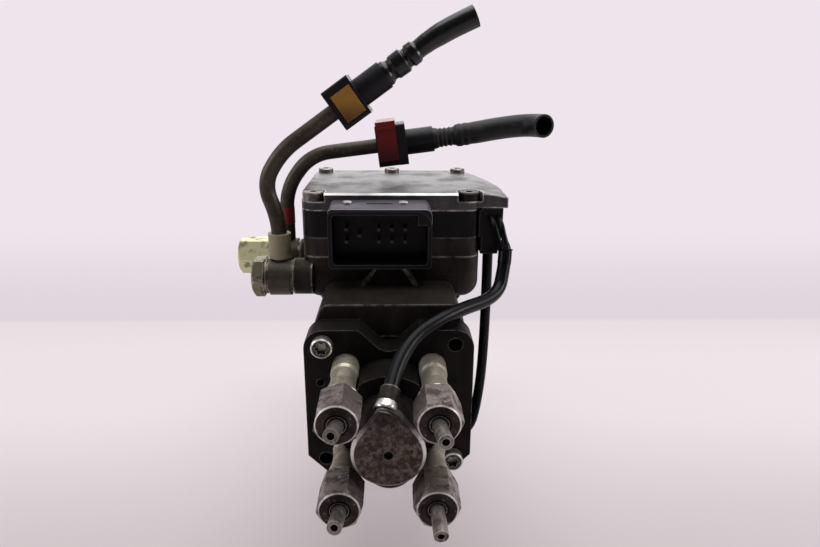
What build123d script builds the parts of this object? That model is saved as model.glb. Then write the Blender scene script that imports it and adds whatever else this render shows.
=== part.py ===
from build123d import *
from math import cos, hypot, pi, radians, sin, tan
import os

os.makedirs("parts", exist_ok=True)

# A four-cylinder distributor diesel injection pump with its control unit on top.
# Millimetres. The origin lies on the shaft axis in the face of the mounting flange,
# +Y points to the drive end, -Y to the hydraulic head and +Z up.

# ---------------------------------------------------------------- fits
seat_gap = 0.02         # between pieces pressed or clamped together
run_gap = 0.05          # radial clearance of a running or sliding fit
free_gap = 0.3          # between pieces that pass without touching

# ---------------------------------------------------------------- cast pump housing
body_length = 126.0     # mounting face to the seat of the hydraulic head
bore_radius = 28.0      # main bore that holds the whole drive train
body_radius = 34.0
end_wall = 34.0         # drive end wall, which carries the shaft
front_width = 76.0      # squared front end behind the head
front_depth = 38.0      # its length along the shaft
front_top = 44.0
front_shoulder = 27.0   # height at which its sides begin to slope inwards
front_top_width = 64.0
front_bottom = -36.0
flange_thickness = 12.0
lug_circle = 50.0       # radius of the mounting bolt circle
lug_radius = 12.0
lug_hole = 4.5
lug_angles = (-90.0, 30.0, 150.0)
spigot_radius = 25.0
spigot_length = 7.0

# ---------------------------------------------------------------- control unit on top
unit_width = 92.0
unit_centre_x = 1.0
unit_back = -13.0
unit_length = 77.0
unit_corner = 8.0
tub_bottom = 33.0
tub_top = 57.0
tub_wall = 5.0
tub_edge = 9.0
plate_thickness = 10.0
frame_height = 14.0
frame_wall = 3.0
frame_floor = 2.0
lid_thickness = 9.0
lid_wall = 3.0
lid_recess = 4.4        # depth of the platforms that the front screws clamp
lid_chamfer = 1.0
wing_reach = 13.5       # the lid's side grows out over the lead exits
wing_drop = 2.4         # fall of its top towards the outer edge
wing_full = 52.0        # from the back of the unit to where it is full width
exit_width = 11.2       # lead exit block standing out at the right side
exit_height = 15.0
exit_length = 62.0
exit_back = -26.0
exit_foot_width = 9.0   # its foot, beside the plate
exit_foot_drop = 9.0
exit_foot_length = 18.0
board_thickness = 1.6
board_inset = 7.0
board_parts = ((-18, 5, 16, 3), (14, 10, 12, 2.4), (16, -16, 9, 5), (-14, -18, 8, 2))
screw_inset = 6.2       # cover screw centres from the outline
boss_radius = 6.0
cover_screw_radius = 2.4
cover_head_radius = 4.35
front_cover_head_radius = 5.5
cover_head_height = 4.4
cover_head_bevel = 0.5
cover_screw_length = 28.0
cover_socket_radius = 2.4
cover_socket_depth = 2.0
cover_well = 2.2        # depth of the round wells that the back screws sit in

neck_half = 27.0
neck_inset = 4.0
tub_floor = 38.0
passage_half = 8.0
rib_top = 53.0
rib_top_half = 6.5
rib_foot_half = 13.0
rib_thickness = 2.0
rib_reach = 9.0
corner_boss_radius = 3.5
corner_boss_x = 29.0
corner_boss_inset = 6.0

# ---------------------------------------------------------------- unit connector
shroud_left = -30.0
shroud_width = 51.0
shroud_bottom = 55.0
shroud_height = 29.0
shroud_depth = 15.0
shroud_wall = 2.0
pocket_depth = 13.0
pin_length = 8.0
pin_width = 1.5
pin_row_pitch = 6.2
pin_columns = (-21.3, -5.2, 1.3, 7.9)
lone_pin_x = -14.8
pin_mid_height = 70.6
shroud_blank = 7.0      # solid corner of the pocket

# ---------------------------------------------------------------- hydraulic head
head_width = 78.0
head_top = 37.0
head_bottom = -38.0
head_thickness = 14.0
head_spigot = 14.0
head_boss_radius = 23.0
head_boss_length = 18.0
head_notch_half = 14.0
head_notch_bottom = 23.5
head_screw_x = 30.4
head_screw_z = 29.7
head_screw_radius = 3.0
head_screw_head = 5.0
head_screw_height = 4.2
head_screw_bevel = 0.6
head_socket_radius = 3.1
head_socket_depth = 2.6
head_screw_length = 22.0
barrel_radius = 11.0
barrel_gap = 10.7       # between the spring bridge and the barrel
barrel_nose = 6.0       # depth of the solenoid's nose inside the barrel bore
drilling_radius = 1.0
drilling_y = 6.0        # from the seat of the head
dowel_x = -31.8
dowel_z = 10.9
dowel_radius = 1.8
dowel_depth = 5.0

# ---------------------------------------------------------------- delivery outlets
outlet_x = 19.8
outlet_z = 19.5
thread_radius = 6.0
thread_depth = 10.0
holder_length = 47.0    # standing out of the head, threads included
holder_radius = 5.7
holder_base = 6.3
pipe_collar = 5.0       # radius of the pipe's cone, which the nut presses on the holder
valve_radius = 3.3
valve_length = 15.0
delivery_spring_radius = 2.6
delivery_spring_wire = 0.45
delivery_spring_room = 11.0
nut_across_flats = 17.0
nut_length = 14.7
nut_front_wall = 2.4
nut_turns = (18, 0, 10, 0)  # how each nut has come to rest, degrees
pipe_radius = 3.0
pipe_bore = 1.5
pipe_tips = ((-20.9, 21.6, 10.5), (21.2, 20.6, 13.5), (-20.6, -17.6, 12.0), (20.4, -21.3, 13.0))

# ---------------------------------------------------------------- high-pressure solenoid
solenoid_radius = 15.5
solenoid_length = 24.7
solenoid_bevel = 1.6
lobe_radius = 7.2
lobe_height = 14.2
lobe_depth = 12.0
gland_radius = 4.3
gland_length = 9.0
gland_rim = 0.6
needle_radius = 2.5
armature_radius = 6.8

# ---------------------------------------------------------------- drive train
shaft_radius = 10.0
collar_radius = 14.0
taper_start = 9.0
taper_length = 24.0
taper_small_radius = 8.4
shaft_thread_radius = 6.0
shaft_thread_length = 14.0
bush_wall = 2.5
bush_length = 26.0
seal_radius = 16.0
seal_length = 7.0
key_length = 12.0
key_width = 4.0
key_start = 14.0
key_floor = 6.5
key_top = 11.4
claw_inner = 6.0
claw_outer = 12.5
claw_width = 7.0
coupling_radius = 13.2
coupling_thickness = 6.0

# ---------------------------------------------------------------- supply pump and sensing
pump_ring_width = 12.0
pump_ring_bore = 21.5
pump_eccentricity = 2.0
rotor_radius = 18.8
vane_thickness = 2.0
vane_length = 7.0
vane_tip_radius = 19.4
pump_plate_thickness = 4.0
wheel_radius = 22.0
wheel_thickness = 3.0
wheel_teeth = 30
wheel_tooth_depth = 1.2
wheel_gap = 1.5         # between the pump plate and the trigger wheel
sensor_half = 5.0

# ---------------------------------------------------------------- rollers and cam plate
ring_back = -58.0
ring_width = 14.0
ring_inner = 15.0
roller_radius = 4.5
roller_length = 8.0
roller_track = 22.0     # radius of the middle of the roller track
roller_pin_radius = 1.5
roller_count = 4
plunger_stroke = 2.2
cam_radius = 26.5
cam_thickness = 6.0
cam_hub_radius = 9.0
cam_hub_length = 2.0
cam_trough_half = 12.0  # half width of each trough at the top of the lobes
cam_clearance = 0.1
plunger_radius = 5.0
plunger_foot_radius = 8.0
plunger_foot_thickness = 2.5
bridge_thickness = 2.0
bridge_half = 23.0
spring_offset = 17.0
spring_radius = 4.2
spring_wire = 0.8
spring_guide_radius = 3.0
spring_guide_length = 4.0

# ---------------------------------------------------------------- timing device
timing_height = -44.0   # height of the piston axis
timing_wall = 6.0
timing_bore = 12.0
timing_spring_radius = 6.4
timing_spring_wire = 1.1
timing_pocket_radius = 8.0
timing_pocket_depth = 9.0
timing_half_length = 34.0
timing_left_stop = -30.0
piston_length = 44.0
piston_travel = 9.2
timing_pin_radius = 3.0
timing_ball_radius = 4.1
timing_cover_thickness = 5.0
timing_foot_width = 14.0
timing_neck_half = 22.0
timing_valve_radius = 12.8
timing_valve_length = 38.0
timing_valve_height = -49.2
timing_needle_radius = 2.0
timing_gland_radius = 4.2
timing_gland_reach = 21.0
timing_lead_y = -95.0
flare_radius = 7.4      # mouth of the piston's cross bore

# ---------------------------------------------------------------- fuel connections
union_height = 45.0     # height of both banjo axes
front_union_y = -85.0
rear_union_y = -45.0
banjo_ring_radius = 10.0
banjo_ring_width = 11.0
banjo_bolt_radius = 6.0
banjo_washer = 1.5
banjo_boss_radius = 9.5
front_boss_length = 5.0
rear_boss_length = 7.0
banjo_head_flats = 19.0
front_banjo_head = 6.0
rear_banjo_head = 20.0
tube_radius = 4.0
tube_bore = 3.1
sleeve_radius = 5.4
sleeve_length = 13.0
front_block_width = 20.8
front_block_length = 14.8
rear_block_width = 22.2
rear_block_length = 16.4
block_depth = 20.0
socket_radius = 7.0
socket_length = 15.0
barb_length = 11.0
barb_radius = 3.9
clip_length = 10.6      # amber clip, along the tube
clip_width = 14.2
clip_ahead = 0.7        # its middle, along the tube and below it
clip_below = 0.8
clip_depth = 10.0
clip_plate = 3.0
clip_proud = 0.4
clip_travel = 1.5
red_clip_length = 10.6  # red lock, along the tube
red_clip_behind = 2.3   # its middle, back towards the tube
red_clip_leg = 2.0
red_clip_leg_length = 21.2
red_clip_top = 2.0
red_clip_proud = 0.3
red_rib_height = 1.2    # bar across the legs, where they are gripped
red_rib_length = 4.0
front_hose_radius = 5.4
rear_hose_radius = 6.2
hose_bore = 4.3

# ---------------------------------------------------------------- electrical leads
timing_lead_top_y = -78.0
main_lead_radius = 3.3
timing_lead_radius = 2.6


def save(piece, name):
    """Label a finished piece and write it as its own STEP file."""
    piece.part.label = name
    export_step(piece.part, f"parts/{name}.step")


def route(points):
    """Straight runs through the points, joined by arcs as large as the runs allow."""
    corners = [Vector(*p) for p in points]
    radii = []
    for before, here, after in zip(corners, corners[1:], corners[2:]):
        run_in = here - before
        run_out = after - here
        half_turn = radians(run_in.get_angle(run_out)) / 2
        radii.append(0.45 * min(run_in.length, run_out.length) / tan(half_turn))
    with BuildLine() as line:
        FilletPolyline(*corners, radius=radii)
    return line.line


def facing_head(y):
    """The plane across the shaft at y; an extrusion from it grows towards the head."""
    return Plane.XZ.offset(-y)


def turn(profile, x=0.0, z=0.0, mode=Mode.ADD):
    """Revolve (radius, y) points, closed on the axis, about a line along Y."""
    with BuildSketch(Plane(origin=(x, 0, z))) as half:
        with BuildLine():
            Polyline((0, profile[0][1]), *profile, (0, profile[-1][1]), close=True)
        make_face()
    revolve(half.sketch, axis=Axis((x, 0, z), (0, 1, 0)), mode=mode)


def turn_across(profile, y, z, mode=Mode.ADD):
    """Revolve (x, radius) points, closed on the axis, about a line along X."""
    with BuildSketch(Plane(origin=(0, y, z))) as half:
        with BuildLine():
            Polyline((profile[0][0], 0), *profile, (profile[-1][0], 0), close=True)
        make_face()
    revolve(half.sketch, axis=Axis((0, y, z), (1, 0, 0)), mode=mode)


def rod(radius, start, end, mode=Mode.ADD):
    """A round bar from start to end, or a bore with Mode.SUBTRACT."""
    direction = Vector(*end) - Vector(*start)
    with Locations(Plane(origin=start, z_dir=direction)):
        Cylinder(radius, direction.length, align=(Align.CENTER, Align.CENTER, Align.MIN), mode=mode)


def block(x, y, z, mode=Mode.ADD):
    """A box between the pairs of limits x, y and z."""
    with Locations((sum(x) / 2, sum(y) / 2, sum(z) / 2)):
        Box(x[1] - x[0], y[1] - y[0], z[1] - z[0], mode=mode)


def coil(start, end, radius, wire, turns):
    """A spring whose outside reaches from start to end."""
    axis = Vector(*end) - Vector(*start)
    length = axis.length - 2 * wire
    base = Vector(*start) + axis.normalized() * wire
    with BuildLine() as wire_line:
        Helix(pitch=length / turns, height=length, radius=radius, center=base, direction=axis)
    with BuildSketch(Plane(origin=wire_line.line @ 0, z_dir=wire_line.line % 0)) as section:
        RegularPolygon(wire, 6)
    sweep(section.sketch, path=wire_line.line)


def star_socket(plane, x, y, radius, depth):
    """Cut a six-pointed screw socket into the face that lies on the plane."""
    with BuildSketch(plane) as star:
        with Locations((x, y)):
            Circle(0.78 * radius)
            with PolarLocations(0.78 * radius, 6):
                Circle(0.22 * radius)
    extrude(star.sketch, amount=-depth, mode=Mode.SUBTRACT)


# ================================================================ places worked out once
head_seat = -body_length
head_front = head_seat - head_thickness
boss_front = head_front - head_boss_length
outlets = [(outlet_x * sx, outlet_z * sz) for sz in (1, -1) for sx in (-1, 1)]
head_screws_at = [(-head_screw_x, head_screw_z), (head_screw_x, -head_screw_z)]
unit_front = unit_back - unit_length
unit_centre_y = unit_back - unit_length / 2
unit_left = unit_centre_x - unit_width / 2
unit_right = unit_centre_x + unit_width / 2
corner_boss_y = unit_front + corner_boss_inset
plate_top = tub_top + plate_thickness
shroud_front = unit_front - shroud_depth
pocket_floor = shroud_front + pocket_depth
pin_places = [(x, pin_mid_height + side * pin_row_pitch / 2) for x in pin_columns
              for side in (-1, 1)] + [(lone_pin_x, pin_mid_height)]
frame_top = plate_top + frame_height
screw_tip = frame_top - cover_screw_length
lid_top = frame_top + lid_thickness
screw_dx = unit_width / 2 - screw_inset
screw_dy = unit_length / 2 - screw_inset
front_screws = [(-screw_dx, -screw_dy), (screw_dx, -screw_dy)]
back_screws = [(-screw_dx, screw_dy), (0, screw_dy), (screw_dx, screw_dy)]
bush_radius = shaft_radius + run_gap + bush_wall
ring_front = ring_back - ring_width
roller_y = ring_front + 2.0
roller_face = roller_y - roller_radius
lobe_top = roller_face - cam_clearance
cam_floor = lobe_top - plunger_stroke
cam_back = cam_floor - cam_thickness
foot_y = cam_back - cam_hub_length
bridge_y = foot_y - plunger_foot_thickness
bridge_front = bridge_y - bridge_thickness
spigot_face = head_seat + head_spigot
barrel_back = bridge_front - barrel_gap
barrel_front = boss_front + barrel_nose
drilling = head_seat + drilling_y
exit_front = exit_back - exit_length
exit_top = plate_top + exit_height
exit_foot = plate_top - exit_foot_drop
pump_ring_front = -end_wall - pump_ring_width
pump_plate_front = pump_ring_front - pump_plate_thickness
wheel_back = pump_plate_front - wheel_gap
coupling_front = ring_front + 4.0
coupling_back = coupling_front + coupling_thickness
timing_y = (ring_back + ring_front) / 2
timing_outer = timing_bore + timing_wall
floor_height = timing_height - timing_outer
timing_valve_back = timing_y - timing_outer - 1.0
timing_valve_front = timing_valve_back - timing_valve_length

# ================================================================ pump housing
with BuildPart() as pump_housing:
    # round barrel from the mounting face to the seat of the head
    with BuildSketch(Plane.XZ):
        Circle(body_radius)
    extrude(amount=body_length)
    # squared front end with sloping shoulders
    with BuildSketch(facing_head(head_seat)) as front_outline:
        with BuildLine():
            Polyline(
                (-front_width / 2, front_bottom), (front_width / 2, front_bottom),
                (front_width / 2, front_shoulder), (front_top_width / 2, front_top),
                (-front_top_width / 2, front_top), (-front_width / 2, front_shoulder),
                close=True)
        make_face()
        fillet(front_outline.vertices().group_by(Axis.Y)[0], radius=10)
        fillet(front_outline.vertices().group_by(Axis.Y)[-1], radius=5)
    extrude(amount=-front_depth)
    # mounting flange with three lugs, and the pilot spigot in front of it
    for angle in lug_angles:
        lug_x = lug_circle * cos(radians(angle))
        lug_z = lug_circle * sin(radians(angle))
        with BuildSketch(Plane.XZ) as lug:
            Circle(body_radius)
            with Locations((lug_x, lug_z)):
                Circle(lug_radius)
            make_hull()
        extrude(amount=flange_thickness)
    rod(spigot_radius, (0, 0, 0), (0, spigot_length, 0))
    # tub of the control unit, with rounded lower edges
    with BuildSketch(Plane.XY.offset(tub_bottom)):
        with Locations((unit_centre_x, unit_centre_y)):
            RectangleRounded(unit_width, unit_length, unit_corner)
    tub = extrude(amount=tub_top - tub_bottom, mode=Mode.PRIVATE)
    tub_floor_edges = tub.faces().sort_by(Axis.Z)[0].edges()
    add(tub.fillet(tub_edge, tub_floor_edges))
    # neck between the barrel and the tub
    block((-neck_half, neck_half), (unit_front + neck_inset, unit_back - neck_inset),
          (0, tub_bottom + 1))
    # wedge under the connector with a rib along each side
    for side in (-1, 1):
        with BuildSketch(facing_head(unit_front)):
            with BuildLine():
                Polyline((side * rib_top_half, rib_top), (side * rib_foot_half, front_top - 1),
                         (side * (rib_foot_half + rib_thickness), front_top - 1),
                         (side * (rib_top_half + rib_thickness), rib_top), close=True)
            make_face()
        extrude(amount=rib_reach)
    with BuildSketch(facing_head(unit_front)):
        with BuildLine():
            Polyline((-rib_top_half, rib_top), (-rib_foot_half, front_top - 1),
                     (rib_foot_half, front_top - 1), (rib_top_half, rib_top), close=True)
        make_face()
    extrude(amount=rib_reach - 2)
    # small bosses under the front corners of the tub
    for side in (-1, 1):
        rod(corner_boss_radius, (side * corner_boss_x, corner_boss_y, front_shoulder),
            (side * corner_boss_x, corner_boss_y, tub_bottom + tub_edge))
    # timing cylinder across the underside, with a flat foot
    rod(timing_outer, (-timing_half_length, timing_y, timing_height),
        (timing_half_length, timing_y, timing_height))
    block((-timing_half_length, timing_half_length),
          (timing_y - timing_foot_width / 2, timing_y + timing_foot_width / 2),
          (floor_height, timing_height))
    block((-timing_neck_half, timing_neck_half),
          (timing_y - timing_outer, timing_y + timing_outer), (timing_height, -body_radius / 2))
    rod(timing_valve_radius, (0, timing_valve_back, timing_valve_height),
        (0, timing_y, timing_valve_height))
    # bosses for the two fuel unions
    rod(banjo_boss_radius, (unit_left - front_boss_length, front_union_y, union_height),
        (unit_left + tub_wall, front_union_y, union_height))
    rod(banjo_boss_radius, (unit_left - rear_boss_length, rear_union_y, union_height),
        (unit_left + tub_wall, rear_union_y, union_height))
    # inside of the tub, leaving the cover screws their bosses
    with BuildSketch(Plane.XY.offset(tub_floor)):
        with Locations((unit_centre_x, unit_centre_y)):
            RectangleRounded(unit_width - 2 * tub_wall, unit_length - 2 * tub_wall,
                             unit_corner - tub_wall)
            with Locations(front_screws + back_screws):
                Circle(boss_radius, mode=Mode.SUBTRACT)
    extrude(amount=tub_top - tub_floor, mode=Mode.SUBTRACT)
    # main bore, bush seat and seal seat
    rod(bore_radius, (0, head_seat, 0), (0, -end_wall, 0), mode=Mode.SUBTRACT)
    rod(bush_radius + seat_gap, (0, -end_wall, 0), (0, 0, 0), mode=Mode.SUBTRACT)
    rod(seal_radius, (0, spigot_length - seal_length, 0), (0, spigot_length, 0),
        mode=Mode.SUBTRACT)
    # passage from the main bore up into the tub
    block((-passage_half, passage_half), (timing_y - passage_half, timing_y + passage_half),
          (0, tub_floor + 1), mode=Mode.SUBTRACT)
    # timing bore and the slot that the timing pin swings in
    rod(timing_bore, (-timing_half_length, timing_y, timing_height),
        (timing_half_length, timing_y, timing_height), mode=Mode.SUBTRACT)
    block((-timing_pin_radius - 1, piston_travel + timing_pin_radius),
          (timing_y - timing_pin_radius - 1, timing_y + timing_pin_radius + 1),
          (timing_height, -bore_radius + timing_pin_radius + 1), mode=Mode.SUBTRACT)
    # mounting holes, cover screw holes, union holes and head screw holes
    for angle in lug_angles:
        lug_x = lug_circle * cos(radians(angle))
        lug_z = lug_circle * sin(radians(angle))
        rod(lug_hole, (lug_x, -flange_thickness, lug_z), (lug_x, 0, lug_z), mode=Mode.SUBTRACT)
    for x, y in front_screws + back_screws:
        rod(cover_screw_radius + seat_gap, (unit_centre_x + x, unit_centre_y + y, screw_tip),
            (unit_centre_x + x, unit_centre_y + y, tub_top), mode=Mode.SUBTRACT)
    for y, boss in ((front_union_y, front_boss_length), (rear_union_y, rear_boss_length)):
        rod(banjo_bolt_radius + seat_gap, (unit_left - boss, y, union_height),
            (unit_left + tub_wall, y, union_height), mode=Mode.SUBTRACT)
    for side in (-1, 1):
        for z in (-head_screw_z, head_screw_z):
            x = side * head_screw_x
            rod(head_screw_radius + seat_gap, (x, head_seat, z),
                (x, head_seat + head_screw_length - head_thickness + 1, z), mode=Mode.SUBTRACT)
save(pump_housing, "pump_housing")

# ================================================================ shaft bush and seal
with BuildPart() as shaft_bush:
    rod(bush_radius, (0, -end_wall, 0), (0, bush_length - end_wall, 0))
    rod(shaft_radius + run_gap, (0, -end_wall, 0), (0, bush_length - end_wall, 0),
        mode=Mode.SUBTRACT)
save(shaft_bush, "shaft_bush")

with BuildPart() as shaft_seal:
    seal_back = spigot_length - seal_length
    turn([(seal_radius - seat_gap, seal_back), (seal_radius - seat_gap, spigot_length)])
    turn([(shaft_radius + run_gap, seal_back), (shaft_radius + run_gap, spigot_length)],
         mode=Mode.SUBTRACT)
    # open groove behind the lip
    turn([(seal_radius - 1.5, spigot_length - 4.5), (seal_radius - 1.5, spigot_length)],
         mode=Mode.SUBTRACT)
    with BuildSketch(facing_head(spigot_length)):
        Circle(shaft_radius + 2)
        Circle(shaft_radius + run_gap, mode=Mode.SUBTRACT)
    extrude(amount=5)
save(shaft_seal, "shaft_seal")

# ================================================================ hydraulic head
with BuildPart() as distributor_head:
    # flange with two ears and a valley between them
    with BuildSketch(facing_head(head_seat)) as flange_outline:
        with BuildLine():
            Polyline(
                (-head_width / 2, head_bottom), (head_width / 2, head_bottom),
                (head_width / 2, head_top), (head_notch_half, head_top),
                (0, head_notch_bottom), (-head_notch_half, head_top),
                (-head_width / 2, head_top), close=True)
        make_face()
        chamfer(flange_outline.vertices().group_by(Axis.Y)[0], length=10)
        fillet(flange_outline.vertices().group_by(Axis.Y)[0], radius=6)
        fillet(flange_outline.vertices().group_by(Axis.X)[0].group_by(Axis.Y)[-1], radius=9)
        fillet(flange_outline.vertices().group_by(Axis.X)[-1].group_by(Axis.Y)[-1], radius=9)
        fillet(flange_outline.vertices().sort_by_distance((0, head_notch_bottom))[0], radius=8)
    extrude(amount=head_thickness)
    # round boss round the solenoid, scalloped where the holders stand
    rod(head_boss_radius, (0, head_front, 0), (0, boss_front, 0))
    rod(bore_radius - run_gap, (0, head_seat, 0), (0, spigot_face, 0))
    for x, z in outlets:
        rod(holder_base + 0.4, (x, head_front, z), (x, boss_front, z), mode=Mode.SUBTRACT)
        rod(thread_radius + seat_gap, (x, head_front + thread_depth, z), (x, head_front, z),
            mode=Mode.SUBTRACT)
        # drilling from the barrel to the middle of the threaded hole's floor
        reach = hypot(x, z)
        rod(drilling_radius, (x * barrel_radius / reach, drilling, z * barrel_radius / reach),
            (x, head_front + thread_depth - 1, z), mode=Mode.SUBTRACT)
    rod(barrel_radius + seat_gap, (0, spigot_face, 0), (0, boss_front, 0), mode=Mode.SUBTRACT)
    for x in (-head_screw_x, head_screw_x):
        for z in (-head_screw_z, head_screw_z):
            rod(head_screw_radius + free_gap, (x, head_seat, z), (x, head_front, z),
                mode=Mode.SUBTRACT)
    # blind dowel hole at the left edge
    rod(dowel_radius, (dowel_x, head_front, dowel_z), (dowel_x, head_front + dowel_depth, dowel_z),
        mode=Mode.SUBTRACT)
save(distributor_head, "distributor_head")

with BuildPart() as head_screws:
    for x, z in head_screws_at:
        tip = head_front + head_screw_length
        turn([(head_screw_radius, tip), (head_screw_radius, head_front),
              (head_screw_head, head_front),
              (head_screw_head, head_front - head_screw_height + head_screw_bevel),
              (head_screw_head - head_screw_bevel, head_front - head_screw_height)], x, z)
        star_socket(facing_head(head_front - head_screw_height), x, z, head_socket_radius,
                    head_socket_depth)
save(head_screws, "head_screws")

with BuildPart() as plunger_barrel:
    rod(barrel_radius, (0, barrel_back, 0), (0, barrel_front, 0))
    rod(plunger_radius + run_gap, (0, barrel_back, 0), (0, barrel_front, 0),
        mode=Mode.SUBTRACT)
    for x, z in outlets:
        reach = hypot(x, z)
        rod(drilling_radius, (0, drilling, 0),
            (x * barrel_radius / reach, drilling, z * barrel_radius / reach), mode=Mode.SUBTRACT)
save(plunger_barrel, "plunger_barrel")

# ================================================================ delivery outlets
holder_back = head_front + thread_depth - 2.0
holder_front = head_front - holder_length
nut_back = holder_front + 10.0
nut_front = nut_back - nut_length
cavity_front = holder_back - valve_length - delivery_spring_room
cone_back = holder_front + 3.6

with BuildPart() as delivery_holders:
    for x, z in outlets:
        turn([(thread_radius, holder_back), (thread_radius, head_front),
              (holder_base - 0.5, head_front), (holder_base, head_front - 1.5),
              (holder_base, head_front - 10), (holder_radius, head_front - 12),
              (holder_radius - 0.3, nut_back + 1.5), (thread_radius, nut_back - 0.5),
              (thread_radius, holder_front)], x, z)
        turn([(valve_radius + run_gap, holder_back), (valve_radius + run_gap, cavity_front),
              (pipe_bore + 0.5, cavity_front), (pipe_bore + 0.5, cone_back),
              (pipe_collar, holder_front)], x, z, mode=Mode.SUBTRACT)
save(delivery_holders, "delivery_holders")

valve_back = head_front + thread_depth
for number, (x, z) in enumerate(outlets, start=1):
    with BuildPart() as delivery_valve:
        turn([(1.2, valve_back), (valve_radius, valve_back - 2.6),
              (valve_radius, valve_back - 5), (valve_radius - 0.9, valve_back - 5.4),
              (valve_radius - 0.9, valve_back - 6.6), (valve_radius, valve_back - 7),
              (valve_radius, valve_back - valve_length + 5),
              (valve_radius - 1.4, valve_back - valve_length + 4.6),
              (valve_radius - 1.4, valve_back - valve_length)], x, z)
        # flutes that let the fuel past
        with Locations(Plane(origin=(x, valve_back - 8.5, z), z_dir=(0, -1, 0))):
            with PolarLocations(valve_radius, 4):
                Cylinder(1.0, 3.4, mode=Mode.SUBTRACT)
    save(delivery_valve, f"delivery_valve_{number}")

with BuildPart() as delivery_springs:
    for x, z in outlets:
        coil((x, valve_back - valve_length + 4.5, z), (x, cavity_front, z),
             delivery_spring_radius, delivery_spring_wire, 5)
save(delivery_springs, "delivery_springs")

with BuildPart() as union_nuts:
    for (x, z), nut_turn in zip(outlets, nut_turns):
        with BuildSketch(facing_head(nut_back)):
            with Locations((x, z)):
                RegularPolygon(nut_across_flats / 2, 6, major_radius=False, rotation=nut_turn)
        nut_body = extrude(amount=nut_length, mode=Mode.PRIVATE)
        corner = nut_across_flats / 2 / cos(pi / 6)
        with BuildPart(mode=Mode.PRIVATE) as nut_cone:
            turn([(nut_across_flats / 2 - 0.2, nut_back), (corner, nut_back - 1.6),
                  (corner, nut_front + 1.7), (nut_across_flats / 2 - 0.4, nut_front)], x, z)
        add(nut_body & nut_cone.part)
        turn([(thread_radius + seat_gap, nut_back), (thread_radius + seat_gap, holder_front - 0.3),
              (pipe_collar + 0.1, holder_front - 0.3),
              (pipe_collar + 0.1, nut_front + nut_front_wall),
              (pipe_radius + 0.7, nut_front + nut_front_wall), (pipe_radius + 0.7, nut_front)],
             x, z, mode=Mode.SUBTRACT)
save(union_nuts, "union_nuts")

with BuildPart() as pipe_stubs:
    for (x, z), (tip_x, tip_z, stub) in zip(outlets, pipe_tips):
        # cone and collar that the nut presses on the holder
        turn([(pipe_bore + 0.6, cone_back - 0.2), (pipe_collar - 0.2, holder_front - 0.2),
              (pipe_collar, holder_front - 0.4),
              (pipe_collar, nut_front + nut_front_wall + 0.05),
              (pipe_radius, nut_front + nut_front_wall + 0.05), (pipe_radius, nut_front + 1)], x, z)
        line = route([(x, nut_front + 1, z), (x, nut_front - 1.5, z),
                      (tip_x, nut_front - stub, tip_z)])
        with BuildSketch(facing_head(nut_front + 1)) as pipe_section:
            with Locations((x, z)):
                Circle(pipe_radius)
        sweep(pipe_section.sketch, path=line)
        with BuildSketch(facing_head(nut_front + 1)) as bore_section:
            with Locations((x, z)):
                Circle(pipe_bore)
        sweep(bore_section.sketch, path=line, mode=Mode.SUBTRACT)
        rod(pipe_bore, (x, cone_back, z), (x, nut_front + 0.9, z), mode=Mode.SUBTRACT)
save(pipe_stubs, "pipe_stubs")

# ================================================================ high-pressure solenoid
solenoid_face = boss_front - solenoid_length
gland_base = Vector(-0.9, solenoid_face + 4.5, lobe_height + 5.2)
gland_direction = Vector(0.2, 0.8, 0.55).normalized()
gland_end = gland_base + gland_direction * gland_length
chamber_back = boss_front - 6.0
chamber_front = boss_front - 16.0

with BuildPart() as solenoid_body:
    rod(solenoid_radius, (0, boss_front, 0), (0, solenoid_face + lobe_depth, 0))
    # pear-shaped front, whose lobe carries the gland
    with BuildSketch(facing_head(solenoid_face + lobe_depth)):
        Circle(solenoid_radius)
        with Locations((0, lobe_height)):
            Circle(lobe_radius)
        make_hull()
    extrude(amount=lobe_depth)
    chamfer(solenoid_body.faces().sort_by(Axis.Y)[0].edges(), length=solenoid_bevel)
    rod(gland_radius, tuple(gland_base - gland_direction * 4),
        tuple(gland_end - gland_direction * gland_rim))
    rod(gland_radius - gland_rim, tuple(gland_base), tuple(gland_end))
    # nose in the barrel's counterbore, needle bore and armature chamber
    rod(barrel_radius - run_gap, (0, barrel_front, 0), (0, boss_front, 0))
    rod(needle_radius + run_gap, (0, barrel_front, 0), (0, chamber_back, 0),
        mode=Mode.SUBTRACT)
    rod(armature_radius + free_gap, (0, chamber_back, 0), (0, chamber_front, 0),
        mode=Mode.SUBTRACT)
    # centre dimple of the face
    turn([(2.0, solenoid_face + 1.6), (2.0, solenoid_face)], mode=Mode.SUBTRACT)
save(solenoid_body, "solenoid_body")

with BuildPart() as solenoid_needle:
    rod(needle_radius, (0, barrel_front - 0.5, 0), (0, chamber_back - 1, 0))
    rod(armature_radius, (0, chamber_back - 1, 0), (0, chamber_back - 6, 0))
    chamfer(solenoid_needle.faces().sort_by(Axis.Y)[-1].edges(), length=1.0)
save(solenoid_needle, "solenoid_needle")

# ================================================================ drive shaft and its key
with BuildPart() as drive_shaft:
    collar_back = ring_back + 3.0
    taper_end = taper_start + taper_length
    shaft_end = taper_end + shaft_thread_length
    turn([(collar_radius, ring_back), (collar_radius, collar_back), (shaft_radius, collar_back),
          (shaft_radius, taper_start), (taper_small_radius, taper_end),
          (shaft_thread_radius, taper_end), (shaft_thread_radius, shaft_end - 1),
          (shaft_thread_radius - 1, shaft_end)])
    for side in (-1, 1):
        block(tuple(sorted((side * claw_inner, side * claw_outer))),
              (coupling_front, ring_back), (-claw_width / 2, claw_width / 2))
    # keyway in the taper
    block((-key_width / 2, key_width / 2), (key_start, key_start + key_length),
          (key_floor, shaft_radius + 1), mode=Mode.SUBTRACT)
save(drive_shaft, "drive_shaft")

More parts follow.
